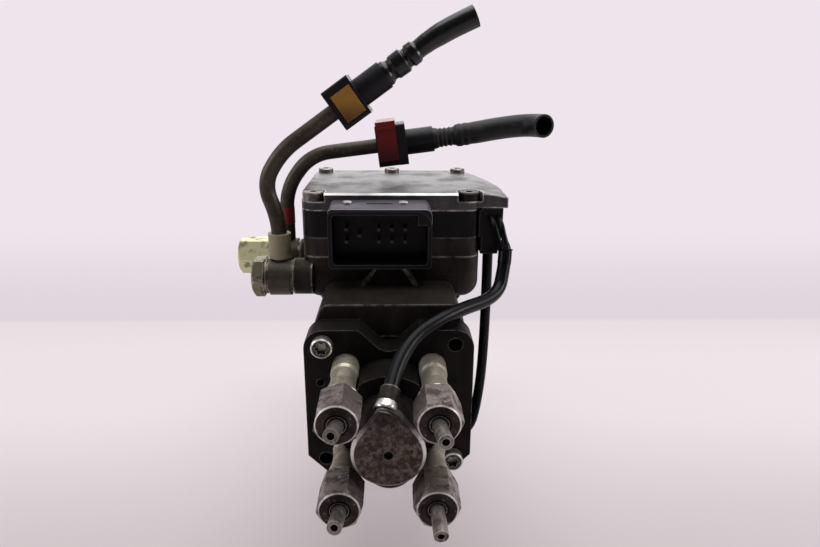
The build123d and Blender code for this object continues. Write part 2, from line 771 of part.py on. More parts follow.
with BuildPart() as shaft_key:
    block((-key_width / 2 + seat_gap, key_width / 2 - seat_gap),
          (key_start + seat_gap, key_start + key_length - seat_gap),
          (key_floor, key_top))
    fillet(shaft_key.edges().filter_by(Axis.X).group_by(Axis.Z)[-1], radius=2)
save(shaft_key, "shaft_key")

with BuildPart() as coupling_disc:
    with BuildSketch(facing_head(coupling_back)):
        Circle(coupling_radius)
        Circle(claw_inner - 2, mode=Mode.SUBTRACT)
        for turned in (0, 90):
            with Locations(Location((0, 0), turned)):
                with GridLocations(2 * coupling_radius, 0, 2, 1):
                    Rectangle(2 * (coupling_radius - claw_inner + free_gap),
                              claw_width + 2 * free_gap, mode=Mode.SUBTRACT)
    extrude(amount=coupling_thickness)
save(coupling_disc, "coupling_disc")

# ================================================================ supply pump
with BuildPart() as supply_cam_ring:
    rod(bore_radius - seat_gap, (0, pump_ring_front, 0), (0, -end_wall, 0))
    rod(pump_ring_bore, (pump_eccentricity, pump_ring_front, 0), (pump_eccentricity, -end_wall, 0),
        mode=Mode.SUBTRACT)
save(supply_cam_ring, "supply_cam_ring")

with BuildPart() as supply_rotor:
    rotor_back = -end_wall - run_gap
    rotor_front = pump_ring_front + run_gap
    rod(rotor_radius, (0, rotor_front, 0), (0, rotor_back, 0))
    rod(shaft_radius + seat_gap, (0, rotor_front, 0), (0, rotor_back, 0), mode=Mode.SUBTRACT)
    for quarter in range(4):
        with BuildSketch(facing_head(rotor_back)):
            with Locations(Location((0, 0), 90 * quarter + 45)):
                with Locations((rotor_radius - vane_length / 2, 0)):
                    Rectangle(vane_length + 1, vane_thickness + 2 * run_gap)
        extrude(amount=rotor_back - rotor_front, mode=Mode.SUBTRACT)
save(supply_rotor, "supply_rotor")

with BuildPart() as supply_vanes:
    for quarter in range(4):
        with BuildSketch(facing_head(rotor_back)):
            with Locations(Location((0, 0), 90 * quarter + 45)):
                with Locations((vane_tip_radius - vane_length / 2, 0)):
                    Rectangle(vane_length, vane_thickness)
        extrude(amount=rotor_back - rotor_front)
save(supply_vanes, "supply_vanes")

with BuildPart() as supply_plate:
    with BuildSketch(facing_head(pump_ring_front)):
        Circle(bore_radius - seat_gap)
        Circle(shaft_radius + free_gap, mode=Mode.SUBTRACT)
        # kidney ports for suction and delivery
        for turned in (0, 180):
            with Locations(Location((0, 0), turned)):
                SlotArc(CenterArc((0, 0), (pump_ring_bore + shaft_radius) / 2, 35, 110), 3,
                        mode=Mode.SUBTRACT)
    extrude(amount=pump_plate_thickness)
save(supply_plate, "supply_plate")

# ================================================================ trigger wheel and angle sensor
with BuildPart() as trigger_wheel:
    with BuildSketch(facing_head(wheel_back)):
        Circle(wheel_radius)
        Circle(shaft_radius + seat_gap, mode=Mode.SUBTRACT)
        with PolarLocations(wheel_radius, wheel_teeth):
            Rectangle(2 * wheel_tooth_depth, pi * wheel_radius / wheel_teeth, mode=Mode.SUBTRACT)
    extrude(amount=wheel_thickness)
save(trigger_wheel, "trigger_wheel")

with BuildPart() as angle_sensor:
    block((-sensor_half, sensor_half), (ring_back, wheel_back + 1),
          (wheel_radius + 0.6, wheel_radius + 4.6))
save(angle_sensor, "angle_sensor")

# ================================================================ roller ring and rollers
roller_angles = [45 + 360 / roller_count * n for n in range(roller_count)]


def radial(angle, radius, y):
    """The point at a radius and an angle round the shaft."""
    return (radius * cos(radians(angle)), y, radius * sin(radians(angle)))


pocket_inner = roller_track - roller_length / 2 - free_gap
pocket_outer = roller_track + roller_length / 2 + free_gap

with BuildPart() as roller_ring:
    rod(bore_radius - run_gap, (0, ring_front, 0), (0, ring_back, 0))
    rod(ring_inner, (0, ring_front, 0), (0, ring_back, 0), mode=Mode.SUBTRACT)
    for angle in roller_angles:
        rod(roller_radius + 0.15, radial(angle, pocket_inner, roller_y),
            radial(angle, pocket_outer, roller_y), mode=Mode.SUBTRACT)
        # pin that the roller turns on, riveted into both walls
        rod(roller_pin_radius, radial(angle, pocket_inner - 1, roller_y),
            radial(angle, pocket_outer + 1, roller_y))
    # hole for the timing pin
    rod(timing_pin_radius + seat_gap, (0, timing_y, -bore_radius), (0, timing_y, -ring_inner - 2),
        mode=Mode.SUBTRACT)
save(roller_ring, "roller_ring")

for number, angle in enumerate(roller_angles, start=1):
    with BuildPart() as roller:
        inner = radial(angle, roller_track - roller_length / 2, roller_y)
        outer = radial(angle, roller_track + roller_length / 2, roller_y)
        rod(roller_radius, inner, outer)
        chamfer(roller.edges().filter_by(GeomType.CIRCLE), length=0.5)
        rod(roller_pin_radius + run_gap, inner, outer, mode=Mode.SUBTRACT)
    save(roller, f"roller_{number}")

with BuildPart() as timing_pin:
    rod(timing_pin_radius, (0, timing_y, timing_height), (0, timing_y, -ring_inner - 2))
    with Locations((0, timing_y, timing_height)):
        Sphere(timing_ball_radius)
save(timing_pin, "timing_pin")

# ================================================================ cam plate and plunger
with BuildPart() as cam_plate:
    rod(cam_radius, (0, lobe_top, 0), (0, cam_back, 0))
    rod(cam_hub_radius, (0, cam_back, 0), (0, foot_y, 0))
    # inside the track the plate is flat
    rod(ring_inner + 1, (0, lobe_top, 0), (0, cam_floor, 0), mode=Mode.SUBTRACT)
    # one trough for each roller leaves a lobe between each pair
    trough = (cam_trough_half ** 2 + plunger_stroke ** 2) / (2 * plunger_stroke)
    for angle in roller_angles:
        rod(trough, radial(angle, ring_inner - 2, cam_floor + trough),
            radial(angle, cam_radius + 2, cam_floor + trough), mode=Mode.SUBTRACT)
    # claws through the coupling disc
    for side in (-1, 1):
        block((-claw_width / 2, claw_width / 2), (cam_floor, coupling_back),
              tuple(sorted((side * claw_inner, side * claw_outer))))
save(cam_plate, "cam_plate")

with BuildPart() as distributor_plunger:
    plunger_end = barrel_front + 1.6
    turn([(plunger_foot_radius, foot_y), (plunger_foot_radius, bridge_y),
          (plunger_radius, bridge_y), (plunger_radius, plunger_end + 0.6),
          (plunger_radius - 0.6, plunger_end)])
    # distributor slot and the blind bore that feeds it
    block((-0.8, 0.8), (drilling - 9, drilling + 1), (plunger_radius - 0.8, plunger_radius + 1),
          mode=Mode.SUBTRACT)
    rod(drilling_radius, (0, plunger_end, 0), (0, drilling - 4, 0), mode=Mode.SUBTRACT)
save(distributor_plunger, "distributor_plunger")

with BuildPart() as spring_bridge:
    with BuildSketch(facing_head(bridge_y)):
        SlotOverall(2 * bridge_half, 2 * cam_hub_radius)
        Circle(plunger_radius + free_gap, mode=Mode.SUBTRACT)
    extrude(amount=bridge_thickness)
    for side in (-1, 1):
        rod(spring_guide_radius, (side * spring_offset, bridge_y, 0),
            (side * spring_offset, bridge_front - spring_guide_length, 0))
save(spring_bridge, "spring_bridge")

with BuildPart() as plunger_springs:
    for side in (-1, 1):
        coil((side * spring_offset, bridge_front, 0), (side * spring_offset, spigot_face, 0),
             spring_radius, spring_wire, 6)
save(plunger_springs, "plunger_springs")

# ================================================================ timing device
piston_left = timing_left_stop + free_gap
piston_right = piston_left + piston_length
spring_pocket = piston_right - timing_pocket_depth

with BuildPart() as timing_piston:
    rod(timing_bore - run_gap, (piston_left, timing_y, timing_height),
        (piston_right, timing_y, timing_height))
    chamfer(timing_piston.edges().filter_by(GeomType.CIRCLE), length=0.8)
    rod(timing_pocket_radius, (spring_pocket, timing_y, timing_height),
        (piston_right, timing_y, timing_height), mode=Mode.SUBTRACT)
    # cross bore for the ball of the timing pin, opening out upwards
    rod(timing_ball_radius + 0.1, (0, timing_y, timing_height - timing_ball_radius - 1),
        (0, timing_y, timing_height + timing_bore), mode=Mode.SUBTRACT)
    upright = Plane(origin=(0, timing_y, timing_height), x_dir=(-1, 0, 0), z_dir=(0, 1, 0))
    with BuildSketch(upright) as flare:
        with BuildLine():
            Polyline((0, 2), (-timing_ball_radius, 2), (-flare_radius, timing_bore + 1),
                     (0, timing_bore + 1), close=True)
        make_face()
    revolve(flare.sketch, axis=Axis((0, timing_y, timing_height), (0, 0, 1)),
            mode=Mode.SUBTRACT)
save(timing_piston, "timing_piston")

with BuildPart() as timing_spring:
    coil((spring_pocket, timing_y, timing_height), (timing_half_length, timing_y, timing_height),
         timing_spring_radius, timing_spring_wire, 5)
save(timing_spring, "timing_spring")

with BuildPart() as timing_covers:
    for side in (-1, 1):
        rod(timing_outer, (side * timing_half_length, timing_y, timing_height),
            (side * (timing_half_length + timing_cover_thickness), timing_y, timing_height))
    # nose that stops the piston at the left end
    rod(timing_bore - seat_gap, (-timing_half_length, timing_y, timing_height),
        (timing_left_stop, timing_y, timing_height))
save(timing_covers, "timing_covers")

with BuildPart() as timing_valve_body:
    turn([(timing_valve_radius, timing_valve_back),
          (timing_valve_radius, timing_valve_front + 2),
          (timing_valve_radius - 2, timing_valve_front)], 0, timing_valve_height)
    rod(timing_gland_radius, (0, timing_lead_y, timing_valve_height),
        (timing_gland_reach, timing_lead_y, timing_valve_height))
    turn([(timing_needle_radius + run_gap, timing_valve_back),
          (timing_needle_radius + run_gap, timing_valve_back - 10),
          (timing_needle_radius + 3, timing_valve_back - 10),
          (timing_needle_radius + 3, timing_valve_back - 20)], 0, timing_valve_height,
         mode=Mode.SUBTRACT)
save(timing_valve_body, "timing_valve_body")

with BuildPart() as timing_valve_needle:
    rod(timing_needle_radius, (0, timing_valve_back - 1, timing_valve_height),
        (0, timing_valve_back - 14, timing_valve_height))
    rod(timing_needle_radius + 2.7, (0, timing_valve_back - 14, timing_valve_height),
        (0, timing_valve_back - 19, timing_valve_height))
save(timing_valve_needle, "timing_valve_needle")

# ================================================================ control unit
outline_centre = (unit_centre_x, unit_centre_y)
screw_places = [(unit_centre_x + x, unit_centre_y + y) for x, y in front_screws + back_screws]

with BuildPart() as control_plate:
    with BuildSketch(Plane.XY.offset(tub_top)):
        with Locations(outline_centre):
            RectangleRounded(unit_width, unit_length, unit_corner)
        with Locations(*screw_places):
            Circle(cover_screw_radius + seat_gap, mode=Mode.SUBTRACT)
        # opening for the sensor's flat lead
        with Locations((0, timing_y)):
            Rectangle(2 * passage_half, passage_half, mode=Mode.SUBTRACT)
    extrude(amount=plate_thickness)
save(control_plate, "control_plate")

with BuildPart() as control_frame:
    with BuildSketch(Plane.XY.offset(plate_top)):
        with Locations(outline_centre):
            RectangleRounded(unit_width, unit_length, unit_corner)
    extrude(amount=frame_height)
    # shroud of the connector, reaching down in front of the plate
    with BuildSketch(facing_head(unit_front - free_gap)) as shroud_outline:
        with Locations((shroud_left + shroud_width / 2, shroud_bottom + shroud_height / 2)):
            Rectangle(shroud_width, shroud_height)
        fillet(shroud_outline.vertices().group_by(Axis.Y)[0], radius=2)
        fillet(shroud_outline.vertices().group_by(Axis.Y)[-1].sort_by(Axis.X)[0], radius=3)
        fillet(shroud_outline.vertices().group_by(Axis.Y)[-1].sort_by(Axis.X)[-1], radius=8)
    extrude(amount=shroud_depth - free_gap)
    # web that joins the shroud to the frame
    block((shroud_left + 8, shroud_left + shroud_width - 8), (unit_front - 1, unit_front + 1),
          (plate_top, frame_top))
    # pocket that the plug goes into
    with BuildSketch(facing_head(shroud_front)) as pocket_outline:
        with Locations((shroud_left + shroud_width / 2, shroud_bottom + shroud_height / 2)):
            Rectangle(shroud_width - 2 * shroud_wall, shroud_height - 2 * shroud_wall)
        fillet(pocket_outline.vertices(), radius=2)
        with Locations((shroud_left + shroud_width, shroud_bottom + shroud_height)):
            Rectangle(2 * shroud_blank, 2 * shroud_blank, mode=Mode.SUBTRACT)
    extrude(amount=-pocket_depth, mode=Mode.SUBTRACT)
    # block at the right side that the leads leave through
    with BuildSketch(facing_head(exit_back)):
        with BuildLine():
            Polyline((unit_right - 1, plate_top), (unit_right + exit_width, plate_top),
                     (unit_right + exit_width, exit_top), (unit_right + free_gap, exit_top),
                     (unit_right + free_gap, frame_top), (unit_right - 1, frame_top), close=True)
        make_face()
    extrude(amount=exit_length)
    # its foot, which the timing lead comes out of
    with BuildSketch(facing_head(exit_front)):
        with BuildLine():
            Polyline((unit_right + free_gap, plate_top + 1), (unit_right + free_gap, exit_foot),
                     (unit_right + exit_foot_width, exit_foot),
                     (unit_right + exit_width, plate_top + 1), close=True)
        make_face()
    extrude(amount=-exit_foot_length)
    # inside of the frame, leaving the cover screws their bosses
    with BuildSketch(Plane.XY.offset(plate_top + frame_floor)):
        with Locations(outline_centre):
            RectangleRounded(unit_width - 2 * frame_wall, unit_length - 2 * frame_wall,
                             unit_corner - frame_wall)
        with Locations(*screw_places):
            Circle(boss_radius, mode=Mode.SUBTRACT)
    extrude(amount=frame_height - frame_floor, mode=Mode.SUBTRACT)
    with BuildSketch(Plane.XY.offset(plate_top)):
        with Locations(*screw_places):
            Circle(cover_screw_radius + seat_gap)
        with Locations((0, timing_y)):
            Rectangle(2 * passage_half, passage_half)
    extrude(amount=frame_height, mode=Mode.SUBTRACT)
    # holes for the pins through the floor of the pocket
    for x, z in pin_places:
        block((x - pin_width / 2 - seat_gap, x + pin_width / 2 + seat_gap),
              (pocket_floor - 1, unit_front - free_gap),
              (z - pin_width / 2 - seat_gap, z + pin_width / 2 + seat_gap), mode=Mode.SUBTRACT)
save(control_frame, "control_frame")

with BuildPart() as connector_pins:
    for x, z in pin_places:
        block((x - pin_width / 2, x + pin_width / 2),
              (pocket_floor - pin_length, unit_front - free_gap),
              (z - pin_width / 2, z + pin_width / 2))
save(connector_pins, "connector_pins")

with BuildPart() as circuit_board:
    board_bottom = plate_top + frame_floor
    board_top = board_bottom + board_thickness
    block((unit_left + board_inset, unit_right - board_inset),
          (unit_front + board_inset, unit_back - board_inset - boss_radius),
          (board_bottom, board_top))
    for x, y, size, height in board_parts:
        with Locations((unit_centre_x + x, unit_centre_y + y, board_top + height / 2)):
            Box(size, size, height)
    for x, y in screw_places:
        rod(boss_radius + free_gap, (x, y, board_bottom), (x, y, board_top), mode=Mode.SUBTRACT)
save(circuit_board, "circuit_board")

with BuildPart() as control_lid:
    with BuildSketch(Plane.XY.offset(frame_top)):
        with Locations(outline_centre):
            RectangleRounded(unit_width, unit_length, unit_corner)
    extrude(amount=lid_thickness)
    # side that grows out over the lead exits
    edge_x = unit_right + wing_reach
    with BuildSketch(Plane.XY.offset(exit_top + free_gap)):
        with BuildLine():
            Spline((unit_right, unit_back - unit_corner), (edge_x, unit_back - wing_full),
                   tangents=[(0.45, -1), (0, -1)])
            Polyline((edge_x, unit_back - wing_full), (edge_x, exit_front - free_gap),
                     (unit_right - unit_corner, exit_front - free_gap),
                     (unit_right - unit_corner, unit_back - unit_corner),
                     (unit_right, unit_back - unit_corner))
        make_face()
    extrude(amount=lid_top - exit_top - free_gap)
    chamfer(control_lid.faces().sort_by(Axis.Z)[-1].edges(), length=lid_chamfer)
    # fall of its top towards the outer edge
    with BuildSketch(facing_head(unit_back)):
        with BuildLine():
            Polyline((unit_right, lid_top), (edge_x, lid_top - wing_drop), (edge_x + 1, lid_top + 1),
                     close=True)
        make_face()
    extrude(amount=unit_length, mode=Mode.SUBTRACT)
    # hollow underneath, leaving the cover screws their bosses
    with BuildSketch(Plane.XY.offset(frame_top)):
        with Locations(outline_centre):
            RectangleRounded(unit_width - 4 * lid_wall, unit_length - 4 * lid_wall,
                             unit_corner - lid_wall)
        with Locations(*screw_places):
            Circle(boss_radius + lid_wall / 2, mode=Mode.SUBTRACT)
    extrude(amount=lid_thickness - lid_wall, mode=Mode.SUBTRACT)
    # platforms for the front screws, open to the front and to the side
    for number, (x, y) in enumerate(screw_places[:2]):
        side = 2 * number - 1
        corner_x = (unit_left, unit_right)[number]
        platform = lid_top - lid_recess
        rod(boss_radius, (x, y, platform), (x, y, lid_top + 1), mode=Mode.SUBTRACT)
        block(tuple(sorted((x - side * boss_radius, corner_x + side * free_gap))), (unit_front, y),
              (platform, lid_top + 1), mode=Mode.SUBTRACT)
    # left platform is open to the left as well
    left_x, left_y = screw_places[0]
    block((unit_left, left_x), (left_y, left_y + boss_radius),
          (lid_top - lid_recess, lid_top + 1), mode=Mode.SUBTRACT)
    for x, y in screw_places[2:]:
        rod(cover_head_radius + free_gap, (x, y, lid_top - cover_well), (x, y, lid_top + 1),
            mode=Mode.SUBTRACT)
    for x, y in screw_places:
        rod(cover_screw_radius + seat_gap, (x, y, frame_top), (x, y, lid_top + 1),
            mode=Mode.SUBTRACT)
save(control_lid, "control_lid")

with BuildPart() as cover_screws:
    for number, (x, y) in enumerate(screw_places):
        at_front = number < 2
        seat = lid_top - (lid_recess if at_front else cover_well)
        head_radius = front_cover_head_radius if at_front else cover_head_radius
        rod(cover_screw_radius, (x, y, screw_tip), (x, y, seat))
        with BuildSketch(Plane.XY.offset(seat)):
            with Locations((x, y)):
                Circle(head_radius)
        head = extrude(amount=cover_head_height)
        chamfer(head.faces().sort_by(Axis.Z)[-1].edges(), length=cover_head_bevel)
        star_socket(Plane.XY.offset(seat + cover_head_height), x, y, cover_socket_radius,
                    cover_socket_depth)
save(cover_screws, "cover_screws")

# ================================================================ fuel unions and tubes
front_ring_out = unit_left - front_boss_length - banjo_washer
rear_ring_out = unit_left - rear_boss_length - banjo_washer
front_tube_x = front_ring_out - banjo_ring_width / 2
rear_tube_x = rear_ring_out - banjo_ring_width / 2


def banjo_bolt(seat_x, y, head_length):
    """Hollow bolt with a hexagon head, from inside the tub out to its head."""
    inner = unit_left + tub_wall
    head_start = seat_x - banjo_ring_width - banjo_washer
    turn_across([(inner, banjo_bolt_radius), (head_start, banjo_bolt_radius),
                 (head_start, banjo_head_flats / 2 - 0.3),
                 (head_start - 1.2, banjo_head_flats / 2 - 0.3),
                 (head_start - 1.2, banjo_bolt_radius)], y, union_height)
    with BuildSketch(Plane(origin=(head_start - 1.2, y, union_height), z_dir=(-1, 0, 0))) as flats:
        RegularPolygon(banjo_head_flats / 2, 6, major_radius=False, rotation=30)
    head_body = extrude(flats.sketch, amount=head_length, mode=Mode.PRIVATE)
    corner = banjo_head_flats / 2 / cos(pi / 6)
    head_end = head_start - 1.2 - head_length
    with BuildPart(mode=Mode.PRIVATE) as head_cone:
        turn_across([(head_start - 1.2, corner), (head_end + 1.6, corner),
                     (head_end, banjo_head_flats / 2 - 0.6)], y, union_height)
    add(head_body & head_cone.part)
    rod(2.5, (inner, y, union_height), (seat_x - banjo_ring_width + 1, y, union_height),
        mode=Mode.SUBTRACT)


with BuildPart() as front_banjo_bolt:
    banjo_bolt(front_ring_out, front_union_y, front_banjo_head)
save(front_banjo_bolt, "front_banjo_bolt")

with BuildPart() as rear_banjo_bolt:
    banjo_bolt(rear_ring_out, rear_union_y, rear_banjo_head)
save(rear_banjo_bolt, "rear_banjo_bolt")

with BuildPart() as banjo_washers:
    for seat_x, y in ((front_ring_out, front_union_y), (rear_ring_out, rear_union_y)):
        for side_x in (seat_x + banjo_washer, seat_x - banjo_ring_width):
            with BuildSketch(Plane(origin=(side_x, y, union_height), z_dir=(-1, 0, 0))):
                Circle(banjo_bolt_radius + 2.6)
                Circle(banjo_bolt_radius + seat_gap, mode=Mode.SUBTRACT)
            extrude(amount=banjo_washer)
save(banjo_washers, "banjo_washers")


def fuel_tube(points, seat_x):
    """A steel tube brazed into the ring of its banjo union."""
    y = points[0][1]
    line = route(points)
    with BuildSketch(Plane(origin=points[0], z_dir=(0, 0, 1))) as tube_section:
        Circle(tube_radius)
    sweep(tube_section.sketch, path=line)
    with BuildSketch(Plane(origin=points[0], z_dir=(0, 0, 1))) as bore_section:
        Circle(tube_bore)
    sweep(bore_section.sketch, path=line, mode=Mode.SUBTRACT)
    ring_x = (seat_x - banjo_ring_width, seat_x)
    rod(banjo_ring_radius, (ring_x[0], y, union_height), (ring_x[1], y, union_height))
    rod(banjo_bolt_radius + seat_gap, (ring_x[0], y, union_height), (ring_x[1], y, union_height),
        mode=Mode.SUBTRACT)


front_tube_points = [(front_tube_x, front_union_y, union_height + 8),
                     (front_tube_x, front_union_y, 76), (-63.5, front_union_y, 94),
                     (-53.5, front_union_y, 110.2), (-20.2, front_union_y, 133.9)]
rear_tube_points = [(rear_tube_x, rear_union_y, union_height + 8),
                    (rear_tube_x, rear_union_y, 84), (-44.5, rear_union_y, 103.5),
                    (1.2, rear_union_y, 109.5)]

with BuildPart() as front_fuel_tube:
    fuel_tube(front_tube_points, front_ring_out)
save(front_fuel_tube, "front_fuel_tube")

with BuildPart() as rear_fuel_tube:
    fuel_tube(rear_tube_points, rear_ring_out)
save(rear_fuel_tube, "rear_fuel_tube")

with BuildPart() as tube_sleeve:
    sleeve_bottom = union_height + banjo_ring_radius + 0.4
    with BuildSketch(Plane(origin=(front_tube_x, front_union_y, sleeve_bottom), z_dir=(0, 0, 1))):
        Circle(sleeve_radius)
    extrude(amount=sleeve_length, taper=-2)
    rod(tube_radius + run_gap, (front_tube_x, front_union_y, sleeve_bottom),
        (front_tube_x, front_union_y, sleeve_bottom + sleeve_length), mode=Mode.SUBTRACT)
save(tube_sleeve, "tube_sleeve")

# ================================================================ quick connectors and hoses


def tube_end_plane(points):
    """Plane at the end of a tube: z runs on along the tube, y upwards, x to the drive end."""
    along = Vector(*points[-1]) - Vector(*points[-2])
    return Plane(origin=points[-1], x_dir=(0, 1, 0), z_dir=along)


def on_plane(plane, x, y, z):
    """The point of the model at x, y, z of a plane."""
    return tuple(plane.from_local_coords(Vector(x, y, z)))


def connector_body(plane, width, length):
    """Square block, round socket and hose barb of a quick connector."""
    with BuildSketch(plane.offset(-length / 2)) as square:
        RectangleRounded(block_depth, width, 1.5)
    extrude(square.sketch, amount=length)
    socket_end = length / 2 + socket_length
    rod(socket_radius, on_plane(plane, 0, 0, length / 2), on_plane(plane, 0, 0, socket_end))
    rod(barb_radius, on_plane(plane, 0, 0, socket_end),
        on_plane(plane, 0, 0, socket_end + barb_length))
    rod(tube_radius + run_gap, on_plane(plane, 0, 0, -length / 2),
        on_plane(plane, 0, 0, 0.4), mode=Mode.SUBTRACT)
    rod(tube_bore - 0.6, on_plane(plane, 0, 0, 0),
        on_plane(plane, 0, 0, socket_end + barb_length), mode=Mode.SUBTRACT)


front_end = tube_end_plane(front_tube_points)
rear_end = tube_end_plane(rear_tube_points)

clip_middle = front_end.offset(clip_ahead)
lock_middle = rear_end.offset(-red_clip_behind)
core_half = tube_radius + 0.6

with BuildPart() as front_connector:
    connector_body(front_end, front_block_width, front_block_length)
    # window for the release clip, open towards the head
    with BuildSketch(clip_middle.offset(-clip_length / 2 - free_gap)):
        with Locations((-block_depth / 2, -clip_below)):
            Rectangle(2 * (clip_depth + clip_travel + free_gap), clip_width + 2 * free_gap)
        Rectangle(2 * core_half, 2 * core_half, mode=Mode.SUBTRACT)
    extrude(amount=clip_length + 2 * free_gap, mode=Mode.SUBTRACT)
save(front_connector, "front_connector")

with BuildPart() as front_clip:
    with BuildSketch(clip_middle.offset(-clip_length / 2)):
        with Locations((clip_depth / 2 - clip_proud - block_depth / 2, -clip_below)):
            Rectangle(clip_depth, clip_width)
        # throat that straddles the tube
        with Locations((clip_depth - clip_proud - block_depth / 2, 0)):
            Rectangle(2 * (clip_depth - clip_plate), 2 * (core_half + free_gap),
                      mode=Mode.SUBTRACT)
    extrude(amount=clip_length)
save(front_clip, "front_clip")

with BuildPart() as rear_connector:
    connector_body(rear_end, rear_block_width, rear_block_length)
    # grooves that the lock's legs slide in
    with BuildSketch(lock_middle.offset(-red_clip_length / 2 - free_gap)):
        for side in (-1, 1):
            with Locations((side * block_depth / 2, 0)):
                Rectangle(2 * (red_clip_leg + free_gap), rear_block_width)
    extrude(amount=red_clip_length + 2 * free_gap, mode=Mode.SUBTRACT)
save(rear_connector, "rear_connector")

with BuildPart() as rear_clip:
    lock_top = rear_block_width / 2 + free_gap + red_clip_top
    with BuildSketch(lock_middle.offset(-red_clip_length / 2)):
        for side in (-1, 1):
            with Locations((side * (block_depth / 2 - red_clip_leg / 2 + red_clip_proud),
                            lock_top - red_clip_leg_length / 2)):
                Rectangle(red_clip_leg, red_clip_leg_length)
        with Locations((0, lock_top - red_clip_top / 2)):
            Rectangle(block_depth + 2 * red_clip_proud, red_clip_top)
    extrude(amount=red_clip_length)
    # grip bars across the heads of the legs
    with BuildSketch(lock_middle.offset(-red_clip_length / 2)):
        for side in (-1, 1):
            with Locations((side * (block_depth / 2 + red_clip_proud + red_rib_height / 2),
                            lock_top - red_rib_length / 2)):
                Rectangle(red_rib_height, red_rib_length)
    extrude(amount=red_clip_length)
save(rear_clip, "rear_clip")


def hose(points, radius, bore):
    """A short length of hose from the shoulder of its connector to the cut end."""
    line = route(points)
    start = Plane(origin=points[0], z_dir=Vector(*points[1]) - Vector(*points[0]))
    with BuildSketch(start) as outside:
        Circle(radius)
    sweep(outside.sketch, path=line)
    with BuildSketch(start) as inside:
        Circle(bore)
    sweep(inside.sketch, path=line, mode=Mode.SUBTRACT)


front_shoulder_at = front_block_length / 2 + socket_length + 0.1
rear_shoulder_at = rear_block_length / 2 + socket_length + 0.1
front_hose_points = [on_plane(front_end, 0, 0, front_shoulder_at),
                     on_plane(front_end, 0, 0, front_shoulder_at + 13),
                     (24, front_union_y, 166), (41, front_union_y, 173.5)]
rear_hose_points = [on_plane(rear_end, 0, 0, rear_shoulder_at),
                    on_plane(rear_end, 0, 0, rear_shoulder_at + 17),
                    (64, rear_union_y, 119), (79, rear_union_y - 2, 120.5),
                    (83, rear_union_y - 13, 120.7)]

with BuildPart() as front_hose:
    hose(front_hose_points, front_hose_radius, hose_bore)
save(front_hose, "front_hose")

with BuildPart() as rear_hose:
    hose(rear_hose_points, rear_hose_radius, hose_bore)
save(rear_hose, "rear_hose")

# ================================================================ electrical leads


def lead(points, radius):
    """A round lead along its whole route."""
    with BuildSketch(Plane(origin=points[0], z_dir=Vector(*points[1]) - Vector(*points[0]))) as end:
        Circle(radius)
    sweep(end.sketch, path=route(points))


main_lead_points = [(53, exit_front, plate_top + 9.5), (53, exit_front - 8.5, plate_top + 9.5),
                    (59, exit_front - 11, 61.5), (54, head_seat + 15, 42),
                    (28, head_seat - 9, 43.5),
                    tuple(gland_end + gland_direction * 21), tuple(gland_end)]
timing_lead_points = [(52.6, timing_lead_top_y, exit_foot - 0.05), (53, -78.5, 18),
                      (51.5, -79, -27), (43, timing_lead_y, timing_valve_height),
                      (timing_gland_reach, timing_lead_y, timing_valve_height)]

with BuildPart() as solenoid_lead:
    lead(main_lead_points, main_lead_radius)
save(solenoid_lead, "solenoid_lead")

with BuildPart() as timing_lead:
    lead(timing_lead_points, timing_lead_radius)
save(timing_lead, "timing_lead")
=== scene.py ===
import math

import bpy
from mathutils import Matrix, Vector


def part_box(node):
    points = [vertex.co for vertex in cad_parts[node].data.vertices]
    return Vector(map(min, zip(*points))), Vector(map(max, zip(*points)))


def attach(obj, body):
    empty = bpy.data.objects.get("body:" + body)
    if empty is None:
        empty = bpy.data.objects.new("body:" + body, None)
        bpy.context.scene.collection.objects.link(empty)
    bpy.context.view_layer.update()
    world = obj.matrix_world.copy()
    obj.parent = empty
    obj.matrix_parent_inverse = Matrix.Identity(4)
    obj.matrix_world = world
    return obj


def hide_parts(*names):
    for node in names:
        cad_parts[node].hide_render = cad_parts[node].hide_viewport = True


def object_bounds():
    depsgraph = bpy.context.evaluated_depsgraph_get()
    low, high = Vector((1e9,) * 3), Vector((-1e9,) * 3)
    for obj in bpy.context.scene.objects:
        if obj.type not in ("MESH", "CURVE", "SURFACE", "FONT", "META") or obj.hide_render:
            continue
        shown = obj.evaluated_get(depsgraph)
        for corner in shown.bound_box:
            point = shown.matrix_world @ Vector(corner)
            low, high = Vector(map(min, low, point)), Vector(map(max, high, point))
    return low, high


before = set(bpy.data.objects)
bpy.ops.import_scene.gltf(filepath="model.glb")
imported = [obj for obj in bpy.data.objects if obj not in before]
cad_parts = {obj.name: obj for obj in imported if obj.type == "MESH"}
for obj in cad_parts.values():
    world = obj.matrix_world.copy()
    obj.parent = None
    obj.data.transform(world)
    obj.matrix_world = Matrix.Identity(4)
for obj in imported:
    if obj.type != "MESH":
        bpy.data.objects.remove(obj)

# Looks of a distributor diesel injection pump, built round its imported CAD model.
# Metres. The shaft lies along Y, the hydraulic head at -Y and the control unit on top.

bl_info = {
    "name": "Distributor injection pump",
    "version": (1, 0, 0),
    "blender": (4, 5, 0),
    "location": "View3D > Sidebar > Injection pump",
    "description": "Finishes, leads, hoses and trim of a distributor diesel injection pump",
    "category": "Object",
}

CAD_BOX = [list(corner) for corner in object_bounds()]
MM = 0.001
LID_LOW, LID_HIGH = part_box("control_lid")
FLOOR_HEIGHT = CAD_BOX[0][2]
THREAD_START = 0.0335       # of the drive shaft, along Y
THREAD_PITCH = 0.00175
SOLENOID_FACE = -0.1827     # along Y, like the three places below
NUT_FRONT = -0.1914
HEAD_SCREW_FRONT = -0.1438
SHROUD_FRONT = -0.1049
# X and Z of the four outlets and of the two screws of the head, in millimetres
OUTLETS = ((-19.8, 19.5), (19.8, 19.5), (-19.8, -19.5), (19.8, -19.5))
HEAD_SCREWS = ((-30.4, 29.7), (30.4, -29.7))


